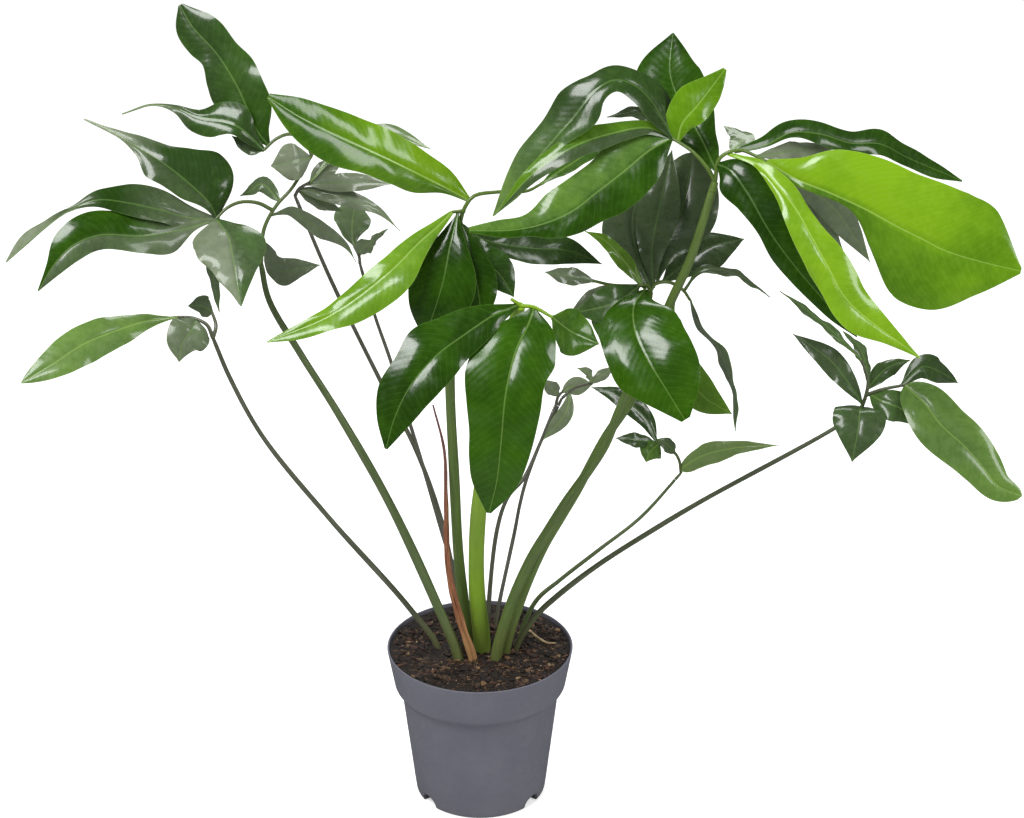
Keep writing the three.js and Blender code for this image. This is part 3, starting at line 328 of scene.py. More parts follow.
                 right=[1.8, 6, 6, 8, 32, 62, 61, 33, 3],
                 rib=[[798, 180, -96], [830, 193, -106], [867, 210, -116], [896, 226, -122],
                      [922, 239, -128], [946, 251, -134], [982, 262, -142], [1021, 271, -148]]),
            dict(arm=1, along=0.45, width=46, turn=-15, wave=3, tone=(0.9, 0.02),
                 left=[1.8, 6, 13, 13, 19, 23.5, 18, 9, 0.6],
                 right=[1.8, 4, 8, 17, 19, 17, 21, 9, 0.6],
                 rib=[[758, 165, -96], [776, 184, -112], [795, 208, -128], [811, 236, -142],
                      [828, 267, -154], [848, 301, -164], [920, 358, -176]]),
            dict(arm=1, along=0.25, width=48, tone=(0, 0),
                 left=[1.8, 20, 24, 22, 14, 13, 10, 6, 0.6],
                 right=[1.8, 21, 16, 11, 14, 13, 11, 8, 0.6],
                 rib=[[731, 171, -86], [748, 194, -100], [768, 229, -116], [793, 264, -128],
                      [857, 337, -140]]),
            dict(arm=1, along=0.95, width=26, widest=0.55, tone=(0.1, 0.6),
                 rib=[[805, 195, -40], [825, 225, -20], [843, 250, -8]]),
            dict(arm=1, width=28, widest=0.55, tone=(0.1, 0.6),
                 rib=[[830, 205, -34], [853, 235, -8], [870, 262, 8]]),
            dict(arm=1, along=0.5, width=24, tone=(0.3, 0.5),
                 rib=[[742, 138, -44], [724, 126, -24]]),
            dict(width=12, turn=20, tone=(0.2, 0.6),
                 rib=[[640, 113, -68], [607, 117, -60]]),
         ]),
    dict(name="j",
         stalk=dict(foot=[40.7, 14.6], radius=2.8, top=1.7, tone=(0.35, 0.4),
                    bends=[[536, 601, 18], [560, 580, 24], [600, 549, 30], [641, 517, 42]]),
         arms=[[[681, 473, 58], [679, 460, 60], [673, 451, 62], [657, 443, 66]]],
         leaflets=[
            dict(along=0.1, width=24, turn=-20, widest=0.3, tone=(0.8, 0.6),
                 rib=[[702, 456, 44], [735, 448, 28], [779, 445, 12]]),
            dict(along=0.5, width=15, turn=20, tone=(0.05, 0.4),
                 rib=[[668, 445, 54], [657, 439, 50]]),
            dict(width=16, turn=20, tone=(0, 0.2),
                 rib=[[636, 440, 60], [616, 438, 54]]),
            dict(width=22, tone=(0, 0.12),
                 rib=[[645, 418, 84], [618, 396, 104], [591, 387, 120]]),
            dict(along=0.95, width=26, widest=0.45, tone=(0.4, 0.2),
                 rib=[[650, 452, 56], [646, 462, 50]]),
         ]),
    dict(name="k",
         stalk=dict(foot=[37.6, -2], radius=3.4, top=2.2, tone=(0.15, 0.6),
                    bends=[[536, 616, -2], [556, 597, -3], [598, 565, -6], [653, 530, -11],
                           [700, 502, -16], [838, 426, -28]]),
         arms=[[[861, 409, -30], [866, 395, -28], [868, 380, -24], [862, 360, -18]],
               [0.29, [884, 389, -34], [905, 385, -38]]],
         leaflets=[
            dict(along=0.1, width=24, turn=10, tone=(0, 0.25),
                 rib=[[852, 388, -26], [830, 360, -10], [793, 334, 10]]),
            dict(along=0.05, width=52, widest=0.42, base=0.4, tone=(0.05, 0.2),
                 rib=[[860, 412, -52], [858, 430, -66], [852, 462, -78]]),
            dict(arm=1, along=0.1, width=32, turn=-10, tone=(0.3, 0.2),
                 rib=[[884, 402, -44], [903, 410, -52], [917, 426, -56]]),
            dict(along=0.4, width=20, turn=-20, tone=(0.1, 0.2),
                 rib=[[880, 374, -10], [893, 365, 4], [910, 360, 14]]),
            dict(arm=1, along=0.9, width=26, turn=-20, tone=(0, 0.15),
                 rib=[[922, 367, -20], [940, 372, -6], [958, 383, 8]]),
            dict(arm=1, width=52, turn=-15, widest=0.36, base=0.7, tail=0.5, tone=(0.5, 0.25),
                 rib=[[924, 403, -58], [942, 426, -76], [964, 446, -90], [982, 466, -100],
                      [998, 486, -106], [1022, 496, -110]]),
            dict(along=0.6, width=16, turn=50, tone=(0.2, 0.3),
                 rib=[[866, 365, -12], [858, 346, 0], [843, 331, 12]]),
            dict(width=12, turn=50, tone=(0.2, 0.3),
                 rib=[[835, 334, -8], [808, 311, 6], [780, 291, 18]]),
         ]),
    dict(name="l",
         stalk=dict(foot=[7, 31], radius=2.8, top=1.8, tone=(0, 0.85),
                    bends=[[497, 530, 58], [508, 497, 68], [524, 478, 78], [543, 437, 96]]),
         arms=[[[562, 398, 112], [575, 388, 116], [592, 383, 120]]],
         leaflets=[
            dict(width=9, turn=20, tone=(0.5, 1),
                 rib=[[588, 372, 112], [577, 368, 108]]),
            dict(along=0.9, width=12, turn=20, tone=(0.3, 1),
                 rib=[[604, 374, 128], [616, 366, 134]]),
            dict(along=0.3, width=17, tone=(0.4, 0.9),
                 rib=[[566, 412, 100], [543, 440, 92]]),
         ]),
    dict(name="m",
         stalk=dict(foot=[15.6, 44], radius=2.4, top=1.8, tone=(0, 1),
                    bends=[[515, 530, 92], [520, 504, 100], [527, 478, 110]]),
         arms=[[[556, 404, 146], [558, 397, 148], [562, 392, 150]]],
         leaflets=[
            dict(width=20, tone=(0.4, 1),
                 rib=[[572, 387, 148], [593, 384, 146]]),
            dict(along=0.6, width=16, tone=(0.3, 1),
                 rib=[[552, 388, 142], [545, 380, 138]]),
         ]),
]

# The dry sheath between the stalks, from its base in the soil to its curled tip
SHEATH = dict(
    foot=[-7, -25], radius=5, top=0.9,
    bends=[[462, 625, -24], [449, 570, -24], [446, 500, -22], [444, 450, -20]],
    tip=[433, 405, -18],
)
# A pale dry root lying on the soil, by columns and rows of the photograph
DRY_ROOT = [[522, 626], [530, 631], [538, 638], [548, 643], [556, 643]]
ROOT_RADIUS = 1.5


# Places, curves and repeatable chance


def unit(vectors):
    return vectors / np.linalg.norm(vectors, axis=-1, keepdims=True)


def draw(seed):
    """A repeatable draw between 0 and 1."""
    spread = math.sin(seed * 12.9898 + 4.1414) * 43758.5453
    return spread - math.floor(spread)


def ray_through(column, row):
    right = (column - PHOTO_CENTRE[0]) * PIXEL / VIEW_DISTANCE
    up = (PHOTO_CENTRE[1] - row) * PIXEL / VIEW_DISTANCE
    return VIEW_FORWARD + VIEW_RIGHT * right + VIEW_UP * up


def at(place):
    """The place that the photograph shows at this column and row, at this depth behind the pot's axis."""
    column, row, depth = place
    ray = ray_through(column, row)
    return EYE + ray * ((depth - EYE[1]) / ray[1])


def on_soil(column, row, lift=0.0):
    ray = ray_through(column, row)
    return EYE + ray * ((SOIL_HEIGHT + lift - EYE[2]) / ray[2])


def lumps(places, size, seed, waves=14):
    """Smooth heights from about -1 to 1 over a surface, with lumps about this far apart."""
    total = np.zeros(len(places))
    for k in range(waves):
        turn = 2 * math.pi * draw(seed + 1.31 * k)
        pitch = 2 * math.pi / (size * (0.7 + 0.9 * draw(seed + 2.17 * k + 0.4)))
        along = places[:, 0] * math.cos(turn) + places[:, 1] * math.sin(turn)
        total += np.sin(along * pitch + 2 * math.pi * draw(seed + 3.77 * k + 0.8))
    return total / math.sqrt(waves / 2) / 1.6


class Course:
    """A smooth centripetal curve through points, followed by its length."""

    def __init__(self, points):
        points = np.array(points, float)
        ends = np.vstack([2 * points[0] - points[1], points, 2 * points[-1] - points[-2]])
        self.pieces = len(points) - 1
        self.corners = [ends[k : k + self.pieces] for k in range(4)]
        spans = zip(self.corners, self.corners[1:])
        gaps = [np.sqrt(np.linalg.norm(b - a, axis=1))[:, None] for a, b in spans]
        (a, b, c, d), (before, within, after) = self.corners, gaps
        self.enter = ((b - a) / before - (c - a) / (before + within) + (c - b) / within) * within
        self.leave = ((c - b) / within - (d - b) / (within + after) + (d - c) / after) * within
        self.steps = np.linspace(0, 1, 201)
        lengths = np.linalg.norm(np.diff(self.raw(self.steps), axis=0), axis=1)
        self.lengths = np.concatenate([[0], np.cumsum(lengths)])
        self.length = self.lengths[-1]

    def raw(self, steps):
        where = np.clip(steps, 0, 1) * self.pieces
        k = np.minimum(where.astype(int), self.pieces - 1)
        w = (where - k)[:, None]
        b, c = self.corners[1][k], self.corners[2][k]
        enter, leave = self.enter[k], self.leave[k]
        square = -3 * b + 3 * c - 2 * enter - leave
        cube = 2 * b - 2 * c + enter + leave
        return b + enter * w + square * w**2 + cube * w**3

    def steps_at(self, shares):
        return np.interp(np.atleast_1d(shares) * self.length, self.lengths, self.steps)

    def at(self, shares):
        return self.raw(self.steps_at(shares))

    def directions(self, shares):
        steps = self.steps_at(shares)
        return unit(self.raw(np.minimum(steps + 1e-4, 1)) - self.raw(np.maximum(steps - 1e-4, 0)))


def carry_across(tangents, first, start):
    """Directions square to a curve that turn with it as little as possible, one for each station."""
    normals = np.empty_like(tangents)
    normals[first] = unit(start - tangents[first] * np.dot(start, tangents[first]))
    for i in range(first + 1, len(tangents)):
        normals[i] = unit(normals[i - 1] - tangents[i] * np.dot(normals[i - 1], tangents[i]))
    for i in range(first - 1, -1, -1):
        normals[i] = unit(normals[i + 1] - tangents[i] * np.dot(normals[i + 1], tangents[i]))
    return normals


def on_arm(arm, share):
    """The place inside the straight pieces of an arm at this share of it."""
    corners = arm.at(np.linspace(0, 1, ARM_PIECES + 1))
    return np.array([np.interp(share * ARM_PIECES, range(ARM_PIECES + 1), corners[:, k]) for k in range(3)])


# Meshes


def put_in(name, data):
    """A new object in the scene that shows this mesh, lamp or camera."""
    thing = bpy.data.objects.new(name, data)
    bpy.context.collection.objects.link(thing)
    return thing


class Shell:
    """Corners and faces in millimetres, with the numbers at each corner that the materials read."""

    def __init__(self):
        self.places, self.faces, self.marks, self.count = [], [], {}, 0

    def add(self, places, faces, **marks):
        self.faces += [[self.count + k for k in face] for face in faces]
        self.places.append(places)
        for name, values in marks.items():
            self.marks.setdefault(name, []).append(np.broadcast_to(values, (len(places), 3)))
        self.count += len(places)

    def make(self, name, material, smooth_under=60):
        mesh = bpy.data.meshes.new(name)
        places = np.concatenate(self.places)
        mesh.from_pydata((places * MM).tolist(), [], self.faces)
        for mark, values in self.marks.items():
            layer = mesh.attributes.new(mark, "FLOAT_VECTOR", "POINT")
            layer.data.foreach_set("vector", np.concatenate(values).astype(np.float32).ravel())
        mesh.materials.append(material)
        mesh.shade_smooth()
        mesh.set_sharp_from_angle(angle=math.radians(smooth_under))
        return put_in(name, mesh)


def grid_faces(rows, row_length, closed=False):
    """Faces between rows of corners. A closed row joins its end to its start."""
    across = row_length if closed else row_length - 1
    faces = []
    for i in range(rows - 1):
        for k in range(across):
            a = i * row_length + k
            b = i * row_length + (k + 1) % row_length
            faces.append([a, b, b + row_length, a + row_length])
    return faces


def add_tube(shell, course, shares, radii, sides, tone, round_by=None):
    """A closed stem through shares of a course. round_by(angles, share) scales its radius all round."""
    tangents = course.directions(shares)
    normals = carry_across(tangents, 0, VIEW_RIGHT if abs(tangents[0][0]) < 0.8 else VIEW_UP)
    across = np.cross(tangents, normals)
    angles = 2 * math.pi * np.arange(sides) / sides
    centres = course.at(shares)
    places, run, part = [], [], []
    for i, share in enumerate(shares):
        swell = round_by(angles, share) if round_by else np.ones(sides)
        out = np.cos(angles)[:, None] * normals[i] + np.sin(angles)[:, None] * across[i]
        places.append(centres[i] + out * (radii[i] * swell)[:, None])
        along = share * course.length
        flat = [np.cos(angles) * radii[i], np.sin(angles) * radii[i]]
        run.append(np.stack([*flat, np.full(sides, along)], 1))
        part.append(np.tile([share, 1, draw(course.length)], (sides, 1)))
    faces = grid_faces(len(shares), sides, closed=True)
    last = (len(shares) - 1) * sides
    faces += [list(range(sides))[::-1], list(range(last, last + sides))]
    look = [tone[0], tone[1], 0]
    shell.add(np.concatenate(places), faces, run=np.concatenate(run), look=look, part=np.concatenate(part))


def outline(shares, widest, base, tail):
    """How wide a blade is along its length, as a share of its greatest width."""
    phase = math.pi * shares ** (math.log(0.5) / math.log(widest))
    return np.maximum(np.sin(phase), 0) ** np.where(shares < widest, base, tail)


def blade_tones(sizes, shares, side):
    """Youth and greyness over a blade: its tone, turned to those given for a half, the root or the tip,
    which mostly paint light and shade.
    """
    tones = np.tile(np.array(sizes["tone"], float), (len(shares), len(side), 1))
    right = np.clip(side * 4 + 0.5, 0, 1)[None, :, None] * np.ones((len(shares), 1, 1))
    # The tones for a half, the root or the tip are mostly painted shade and painted highlight, the rest the
    # leaflet's own tone.
    for name, weight in (("left_tone_and_painted_light", 1 - right), ("right_tone_and_painted_light", right)):
        tones += weight * (np.array(sizes.get(name, sizes["tone"])) - tones)
    along = shares[:, None, None]
    for name, weight in (("root_tone_and_painted_light", 1 - along / 0.45), ("tip_tone_and_painted_light", (along - 0.5) / 0.35)):
        if name in sizes:
            tones += np.clip(weight, 0, 1) * (np.array(sizes[name]) - tones)
    return tones


def widths_at(widths, shares):
    """A smooth run through widths that are equally spaced from root to tip."""
    widths = np.array(widths, float)
    slopes = np.gradient(widths)
    step = np.minimum((shares * (len(widths) - 1)).astype(int), len(widths) - 2)
    t = shares * (len(widths) - 1) - step
    near, far = widths[step], widths[step + 1]
    bend = t * (1 - t) * ((slopes[step] - far + near) * (1 - t) - (slopes[step + 1] - far + near) * t)
    return near + (far - near) * t + bend


def nearness(places):
    """How far from the viewer places are, as a share of the viewing distance."""
    return (places - EYE) @ VIEW_FORWARD / VIEW_DISTANCE


def half_widths(sizes, shares, centres):
    """How far a blade reaches to the left and to the right of its rib, along its length."""
    least = np.where(shares < 0.5, STALKLET_HALF_WIDTH, TIP_HALF_WIDTH)
    if "left" not in sizes:
        even = sizes["width"] / 2 * outline(shares, sizes["widest"], sizes["base"], sizes["tail"])
        return [np.maximum(even, least)] * 2
    scale = PIXEL * nearness(centres) / math.cos(math.radians(sizes["turn"]))
    return [np.maximum(scale * widths_at(sizes[name], shares), least) for name in ("left", "right")]


def add_blade(shell, sizes, root, seed):
    """A leaflet as a thin closed blade with a midrib, arched halves and waved edges."""
    course = Course([root, *map(at, sizes["rib"])])
    stations = int(np.clip(course.length / BLADE_STEP, 16, 84)) // 2 * 2 + 1
    strips = int(np.clip(sizes["width"] / STRIP_STEP, 6, 24)) // 2 * 2
    shares = np.linspace(0, 1, stations)
    tangents = course.directions(shares)
    centres = course.at(shares)
    middle = stations // 2
    facing = unit(EYE - centres[middle])
    square = unit(facing - tangents[middle] * np.dot(facing, tangents[middle]))
    turned = Matrix.Rotation(math.radians(sizes["turn"]), 3, Vector(tangents[middle])) @ Vector(square)
    normals = carry_across(tangents, middle, np.array(turned))
    across = np.cross(tangents, normals)
    left, right = half_widths(sizes, shares, centres)
    side = np.linspace(-1, 1, strips + 1)
    side = np.sign(side) * np.abs(side) ** 1.15
    reach = np.abs(side)
    half = np.where(side < 0, left[:, None], right[:, None])
    chance = np.array([draw(seed + (0.3 if s < 0 else 0.7)) for s in side])
    waves = 2 + draw(seed + 0.1)
    phase = 2 * math.pi * (chance[None, :] + shares[:, None] * waves)
    ends = np.sin(math.pi * shares)[:, None]
    ripple = sizes["wave"] * np.sin(phase) * ends * reach**2
    ripple = ripple + 0.45 * np.sin(phase * 2.7 + 1.9) * ends * reach**3
    flat = np.meshgrid(shares * course.length, side * sizes["width"] / 2, indexing="ij")
    buckles = lumps(np.stack(flat, -1).reshape(-1, 2), BUCKLE_SIZE, seed + 5.5).reshape(stations, -1)
    ripple = ripple + BUCKLE * buckles * ends * reach**0.7
    rise = half * (FOLD * reach - CURL * reach**2) + ripple
    offset = half * side
    rib = np.exp(-((offset / RIB_HALF_WIDTH) ** 2)) * (1 - 0.7 * shares[:, None])
    halfway = centres[:, None] + across[:, None] * offset[..., None] + normals[:, None] * rise[..., None]
    upper = halfway + normals[:, None] * (BLADE_THICKNESS / 2 - RIB_HEIGHT * rib)[..., None]
    lower = halfway - normals[:, None] * (BLADE_THICKNESS / 2 + RIB_DEPTH * rib)[..., None]
    row, count = strips + 1, stations * (strips + 1)
    sheet = grid_faces(stations, row)
    faces = sheet + [[k + count for k in face[::-1]] for face in sheet]
    for i in range(stations - 1):
        near, far = i * row, i * row + strips
        faces.append([near, near + row, near + row + count, near + count])
        faces.append([far, far + count, far + row + count, far + row])
    for k in range(strips):
        last = (stations - 1) * row + k
        faces.append([k, k + count, k + count + 1, k + 1])
        faces.append([last, last + 1, last + count + 1, last + count])
    along = np.repeat(shares * course.length, row)
    run = np.stack([along, offset.ravel(), half.ravel()], 1)
    look = blade_tones(sizes, shares, side).reshape(-1, 2)
    under = np.repeat([0, 1], count)
    look = np.column_stack([np.tile(look, (2, 1)), under])
    share = np.tile(np.repeat(shares, row), 2)
    part = np.stack([share, np.zeros(2 * count), np.full(2 * count, draw(seed))], 1)
    places = np.concatenate([upper.reshape(-1, 3), lower.reshape(-1, 3)])
    shell.add(places, faces, run=np.tile(run, (2, 1)), look=look, part=part)


# Materials


class Wiring:
    """Short ways to add nodes to one shader tree."""

    def __init__(self, tree):
        self.tree = tree

    def feed(self, socket, value):
        """Links a socket or sets its value. A colour is given as red, green and blue."""
        if isinstance(value, bpy.types.NodeSocket):
            self.tree.links.new(value, socket)
        elif socket.type == "RGBA":
            socket.default_value = (*value, 1)
        else:
            socket.default_value = value

    def node(self, kind, inputs=None, **settings):
        node = self.tree.nodes.new(kind)
        for key, value in settings.items():
            setattr(node, key, value)
        for key, value in (inputs or {}).items():
            self.feed(node.inputs[key], value)
        return node

    def math(self, operation, *values):
        node = self.node("ShaderNodeMath", operation=operation)
        for socket, value in zip(node.inputs, values):
            self.feed(socket, value)
        return node.outputs[0]

    def times(self, value, factor):
        return self.math("MULTIPLY", value, factor)

    def times_plus(self, value, factor, more):
        return self.math("MULTIPLY_ADD", value, factor, more)

    def minus(self, value, less):
        return self.math("SUBTRACT", value, less)

    def ease(self, value, low, high, at_low=0.0, at_high=1.0):
        """A smooth step from one value to another."""
        node = self.node("ShaderNodeMapRange", interpolation_type="SMOOTHSTEP")
        for socket, number in zip(node.inputs, (value, low, high, at_low, at_high)):
            self.feed(socket, number)
        return node.outputs[0]

    def blend(self, factor, first, second):
        node = self.node("ShaderNodeMix", data_type="RGBA")
        for k, value in ((0, factor), (6, first), (7, second)):
            self.feed(node.inputs[k], value)
        return node.outputs[2]

    def tint(self, colour, mask, strength, toward):
        """A colour that turns this strongly towards another where the mask is 1."""
        return self.blend(self.times(mask, strength), colour, toward)

    def noise(self, vector, scale, detail=3.0, roughness=0.55):
        inputs = {"Vector": vector, "Scale": scale, "Detail": detail, "Roughness": roughness}
        return self.node("ShaderNodeTexNoise", inputs).outputs[0]

    def stretch(self, vector, scale):
        node = self.node("ShaderNodeVectorMath", operation="MULTIPLY")
        self.feed(node.inputs[0], vector)
        self.feed(node.inputs[1], scale)
        return node.outputs[0]

    def mark(self, name):
        """The three numbers at each corner that the mesh keeps under this name."""
        node = self.node("ShaderNodeAttribute", attribute_name=name, attribute_type="GEOMETRY")
        vector = node.outputs["Vector"]
        return vector, self.node("ShaderNodeSeparateXYZ", {0: vector}).outputs

    def ramp(self, factor, *stops):
        node = self.node("ShaderNodeValToRGB", {0: factor})
        elements = node.color_ramp.elements
        for k, (place, colour) in enumerate(stops):
            element = elements[k] if k < 2 else elements.new(place)
            element.position, element.color = place, (*colour, 1)
        return node.outputs[0]

    def surface(self, shader, colour, roughness, raised, depth):
        """Gives a shader its colour, its roughness, and a relief that is this many metres deep."""
        bump = self.node("ShaderNodeBump", {"Height": raised, "Distance": depth, "Strength": 1.0})
        self.feed(shader["Base Color"], colour)
        self.feed(shader["Roughness"], roughness)
        self.feed(shader["Normal"], bump.outputs[0])

    def group(self, group, **inputs):
        return self.node("ShaderNodeGroup", inputs, node_tree=group).outputs


def group_wiring(name, inputs, outputs):
    """A shared node group with these inputs and outputs, each a name and a kind of socket."""
    tree = bpy.data.node_groups.new(name, "ShaderNodeTree")
    for direction, sockets in (("INPUT", inputs), ("OUTPUT", outputs)):
        for label, kind in sockets:
            tree.interface.new_socket(label, in_out=direction, socket_type=f"NodeSocket{kind}")
    wire = Wiring(tree)
    return wire, wire.node("NodeGroupInput").outputs, wire.node("NodeGroupOutput").inputs


def weathering_group():
    """Broad patches, small blotches and fine grain, as masks from 0 to 1 for any material."""
    outputs = [("Patches", "Float"), ("Blotches", "Float"), ("Grain", "Float")]
    wire, given, result = group_wiring("weathering", [("Place", "Vector"), ("Seed", "Float")], outputs)
    shift = wire.node("ShaderNodeCombineXYZ", {0: given["Seed"], 1: given["Seed"], 2: 0.0}).outputs[0]
    moved = wire.node("ShaderNodeVectorMath", operation="ADD")
    wire.feed(moved.inputs[0], given["Place"])
    wire.feed(moved.inputs[1], shift)
    place = moved.outputs[0]
    wire.feed(result["Patches"], wire.ease(wire.noise(place, 22.0, 2.0), 0.32, 0.68))
    wire.feed(result["Blotches"], wire.ease(wire.noise(place, 140.0, 3.0), 0.35, 0.7))
    wire.feed(result["Grain"], wire.noise(place, 1300.0, 2.0, 0.6))
    return wire.tree


def stalk_skin_group():
    """The skin of a stalk: green to dusky brown, with fine streaks along it and a browner, paler foot."""
    inputs = [("Run", "Vector"), ("Youth", "Float"), ("Dusk", "Float"), ("Share", "Float")]
    outputs = [("Colour", "Color"), ("Roughness", "Float"), ("Height", "Float")]
    wire, given, result = group_wiring("stalk_skin", inputs, outputs)
    streaks = wire.noise(wire.stretch(given["Run"], (0.9, 0.9, 0.03)), 1.0, 4.0, 0.6)
    specks = wire.ease(wire.noise(wire.stretch(given["Run"], (1.6, 1.6, 0.5)), 1.0, 2.0), 0.62, 0.74)
    shade = wire.times_plus(wire.minus(streaks, 0.5), 0.9, given["Youth"])
    green = wire.ramp(
        shade, (0, (0.040, 0.072, 0.012)), (1, (0.18, 0.32, 0.012)), (0.45, (0.088, 0.160, 0.018))
    )
    dusky = wire.ramp(streaks, (0.3, (0.050, 0.052, 0.038)), (0.75, (0.135, 0.125, 0.105)))
    worn = wire.times(given["Dusk"], wire.ease(streaks, 0.1, 0.55, 0.55, 1.0))
    skin = wire.blend(worn, green, dusky)
    skin = wire.tint(skin, specks, 0.3, (0.23, 0.27, 0.13))
    foot = wire.times(wire.ease(given["Share"], 0.06, 0.2, 1.0, 0.0), 0.45)
    wire.feed(result["Colour"], wire.blend(foot, skin, (0.16, 0.17, 0.055)))
    wire.feed(result["Roughness"], wire.ease(streaks, 0.25, 0.8, 0.3, 0.52))
    wire.feed(result["Height"], streaks)
    return wire.tree


def material_wiring(name):
    """A material with its shader, ready to be wired."""
    material = bpy.data.materials.new(name)
    material.use_nodes = True
    wire = Wiring(material.node_tree)
    return material, wire, material.node_tree.nodes["Principled BSDF"].inputs


def object_place(wire):
    return wire.node("ShaderNodeTexCoord").outputs["Object"]


def leaf_material(weathering, stalk_skin):
    """Waxy leaf: dark to bright green by youth, with a pale grey painted sheen by greyness, and a midrib and
    slanting side veins.
    """
    material, wire, shader = material_wiring("waxy_leaf")
    run, (along, across, half) = wire.mark("run")
    _, (youth, painted_sheen_and_dusk, under) = wire.mark("look")
    _, (share, is_tube, seed) = wire.mark("part")
    masks = wire.group(weathering, Place=object_place(wire), Seed=seed)
    off_rib = wire.math("ABSOLUTE", across)

    bend = wire.times(wire.times(off_rib, off_rib), 0.010)
    slanted = wire.minus(along, wire.times_plus(off_rib, 0.62, bend))
    waver = wire.times(wire.minus(masks["Patches"], 0.5), 2.2)
    slanted = wire.math("ADD", slanted, waver)
    to_vein = wire.math("PINGPONG", slanted, 3.6)
    to_fine_vein = wire.math("PINGPONG", slanted, 0.9)
    vein = wire.ease(to_vein, 0.12, 0.55, 1.0, 0.0)
    fine_vein = wire.ease(to_fine_vein, 0.1, 0.5, 1.0, 0.0)
    rib_edge = wire.times_plus(share, -0.75, 1.15)
    rib = wire.ease(wire.math("DIVIDE", off_rib, rib_edge), 0.55, 1.1, 1.0, 0.0)
    margin = wire.ease(wire.minus(half, off_rib), 0.25, 0.8, 1.0, 0.0)

    spread = wire.times_plus(wire.minus(masks["Blotches"], 0.5), 0.08, youth)
    spread = wire.times_plus(wire.minus(masks["Patches"], 0.5), 0.17, spread)
    green = wire.ramp(
        spread,
        (0, (0.010, 0.036, 0.001)),
        (1, (0.160, 0.315, 0.005)),
        (0.3, (0.026, 0.086, 0.001)),
        (0.65, (0.090, 0.205, 0.003)),
    )
    pale = wire.ramp(youth, (0, (0.100, 0.200, 0.040)), (1, (0.400, 0.580, 0.120)))
    # Greyness mixes a pale grey painted sheen into the blade, a painted reflection of the bright studio. On
    # stalk pieces the same number is their duskiness.
    painted_sheen = wire.times(painted_sheen_and_dusk, wire.ease(masks["Blotches"], 0.0, 1.0, 0.72, 0.86))
    blade = wire.blend(painted_sheen, green, (0.200, 0.230, 0.155))
    blade = wire.tint(blade, under, 0.6, (0.095, 0.165, 0.040))
    blade = wire.tint(blade, fine_vein, 0.03, pale)
    blade = wire.tint(blade, vein, 0.09, pale)
    blade = wire.tint(blade, margin, 0.22, pale)
    blade = wire.tint(blade, rib, 0.42, pale)
    skin = wire.group(stalk_skin, Run=run, Youth=youth, Dusk=painted_sheen_and_dusk, Share=1.0)
    colour = wire.blend(is_tube, blade, skin["Colour"])

    rough = wire.times_plus(painted_sheen_and_dusk, 0.22, 0.2)
    rough = wire.times_plus(under, 0.2, rough)
    rough = wire.times_plus(masks["Blotches"], 0.09, rough)
    rough = wire.times_plus(rib, 0.12, rough)
    difference = wire.minus(skin["Roughness"], rough)
    rough = wire.times_plus(difference, is_tube, rough)

    swells = wire.noise(object_place(wire), 38.0, 1.0)
    raised = wire.times(wire.ease(to_vein, 0.0, 3.4), 0.05)
    raised = wire.times_plus(wire.ease(to_fine_vein, 0.0, 0.9), 0.006, raised)
    raised = wire.times_plus(masks["Grain"], 0.008, raised)
    raised = wire.times_plus(masks["Blotches"], 0.04, raised)
    raised = wire.times_plus(swells, 0.6, raised)
    difference = wire.minus(wire.times(skin["Height"], 0.25), raised)
    raised = wire.times_plus(difference, is_tube, raised)
    wire.surface(shader, colour, rough, raised, 0.001)
    shader["Coat Weight"].default_value = 0.4
    shader["Coat Roughness"].default_value = 0.12
    shader["Specular IOR Level"].default_value = 0.25
    return material


def stalk_material(weathering, stalk_skin):
    """Smooth fluted stalk, with a soft sheen and darker patches."""
    material, wire, shader = material_wiring("leaf_stalk")
    run, _ = wire.mark("run")
    _, (youth, dusk, _) = wire.mark("look")
    _, (share, _, seed) = wire.mark("part")
    masks = wire.group(weathering, Place=object_place(wire), Seed=seed)
    skin = wire.group(stalk_skin, Run=run, Youth=youth, Dusk=dusk, Share=share)
    colour = wire.tint(skin["Colour"], masks["Patches"], 0.16, (0.055, 0.075, 0.03))
    rough = wire.times_plus(masks["Blotches"], 0.08, skin["Roughness"])
    raised = wire.times_plus(masks["Grain"], 0.2, skin["Height"])
    wire.surface(shader, colour, rough, raised, 0.0003)
    shader["Coat Weight"].default_value = 0.15
    shader["Coat Roughness"].default_value = 0.25
    return material


def sheath_material(weathering):
    """Papery sheath: red-brown with tan fibres along it, tan at the foot and purplish at the tip."""
    material, wire, shader = material_wiring("papery_sheath")
    run, _ = wire.mark("run")
    _, (share, _, seed) = wire.mark("part")
    masks = wire.group(weathering, Place=object_place(wire), Seed=seed)
    fibres = wire.noise(wire.stretch(run, (1.1, 1.1, 0.045)), 1.0, 5.0, 0.65)
    colour = wire.ramp(
        fibres, (0.25, (0.075, 0.026, 0.014)), (0.8, (0.52, 0.27, 0.12)), (0.52, (0.24, 0.085, 0.035))
    )
    colour = wire.blend(wire.ease(share, 0.05, 0.3, 0.55, 0.0), colour, (0.50, 0.31, 0.12))
    colour = wire.blend(wire.ease(share, 0.55, 0.95, 0.0, 0.7), colour, (0.16, 0.075, 0.085))
    raised = wire.times_plus(masks["Grain"], 0.2, fibres)
    wire.surface(shader, colour, wire.ease(fibres, 0.2, 0.8, 0.75, 0.45), raised, 0.0008)
    return material


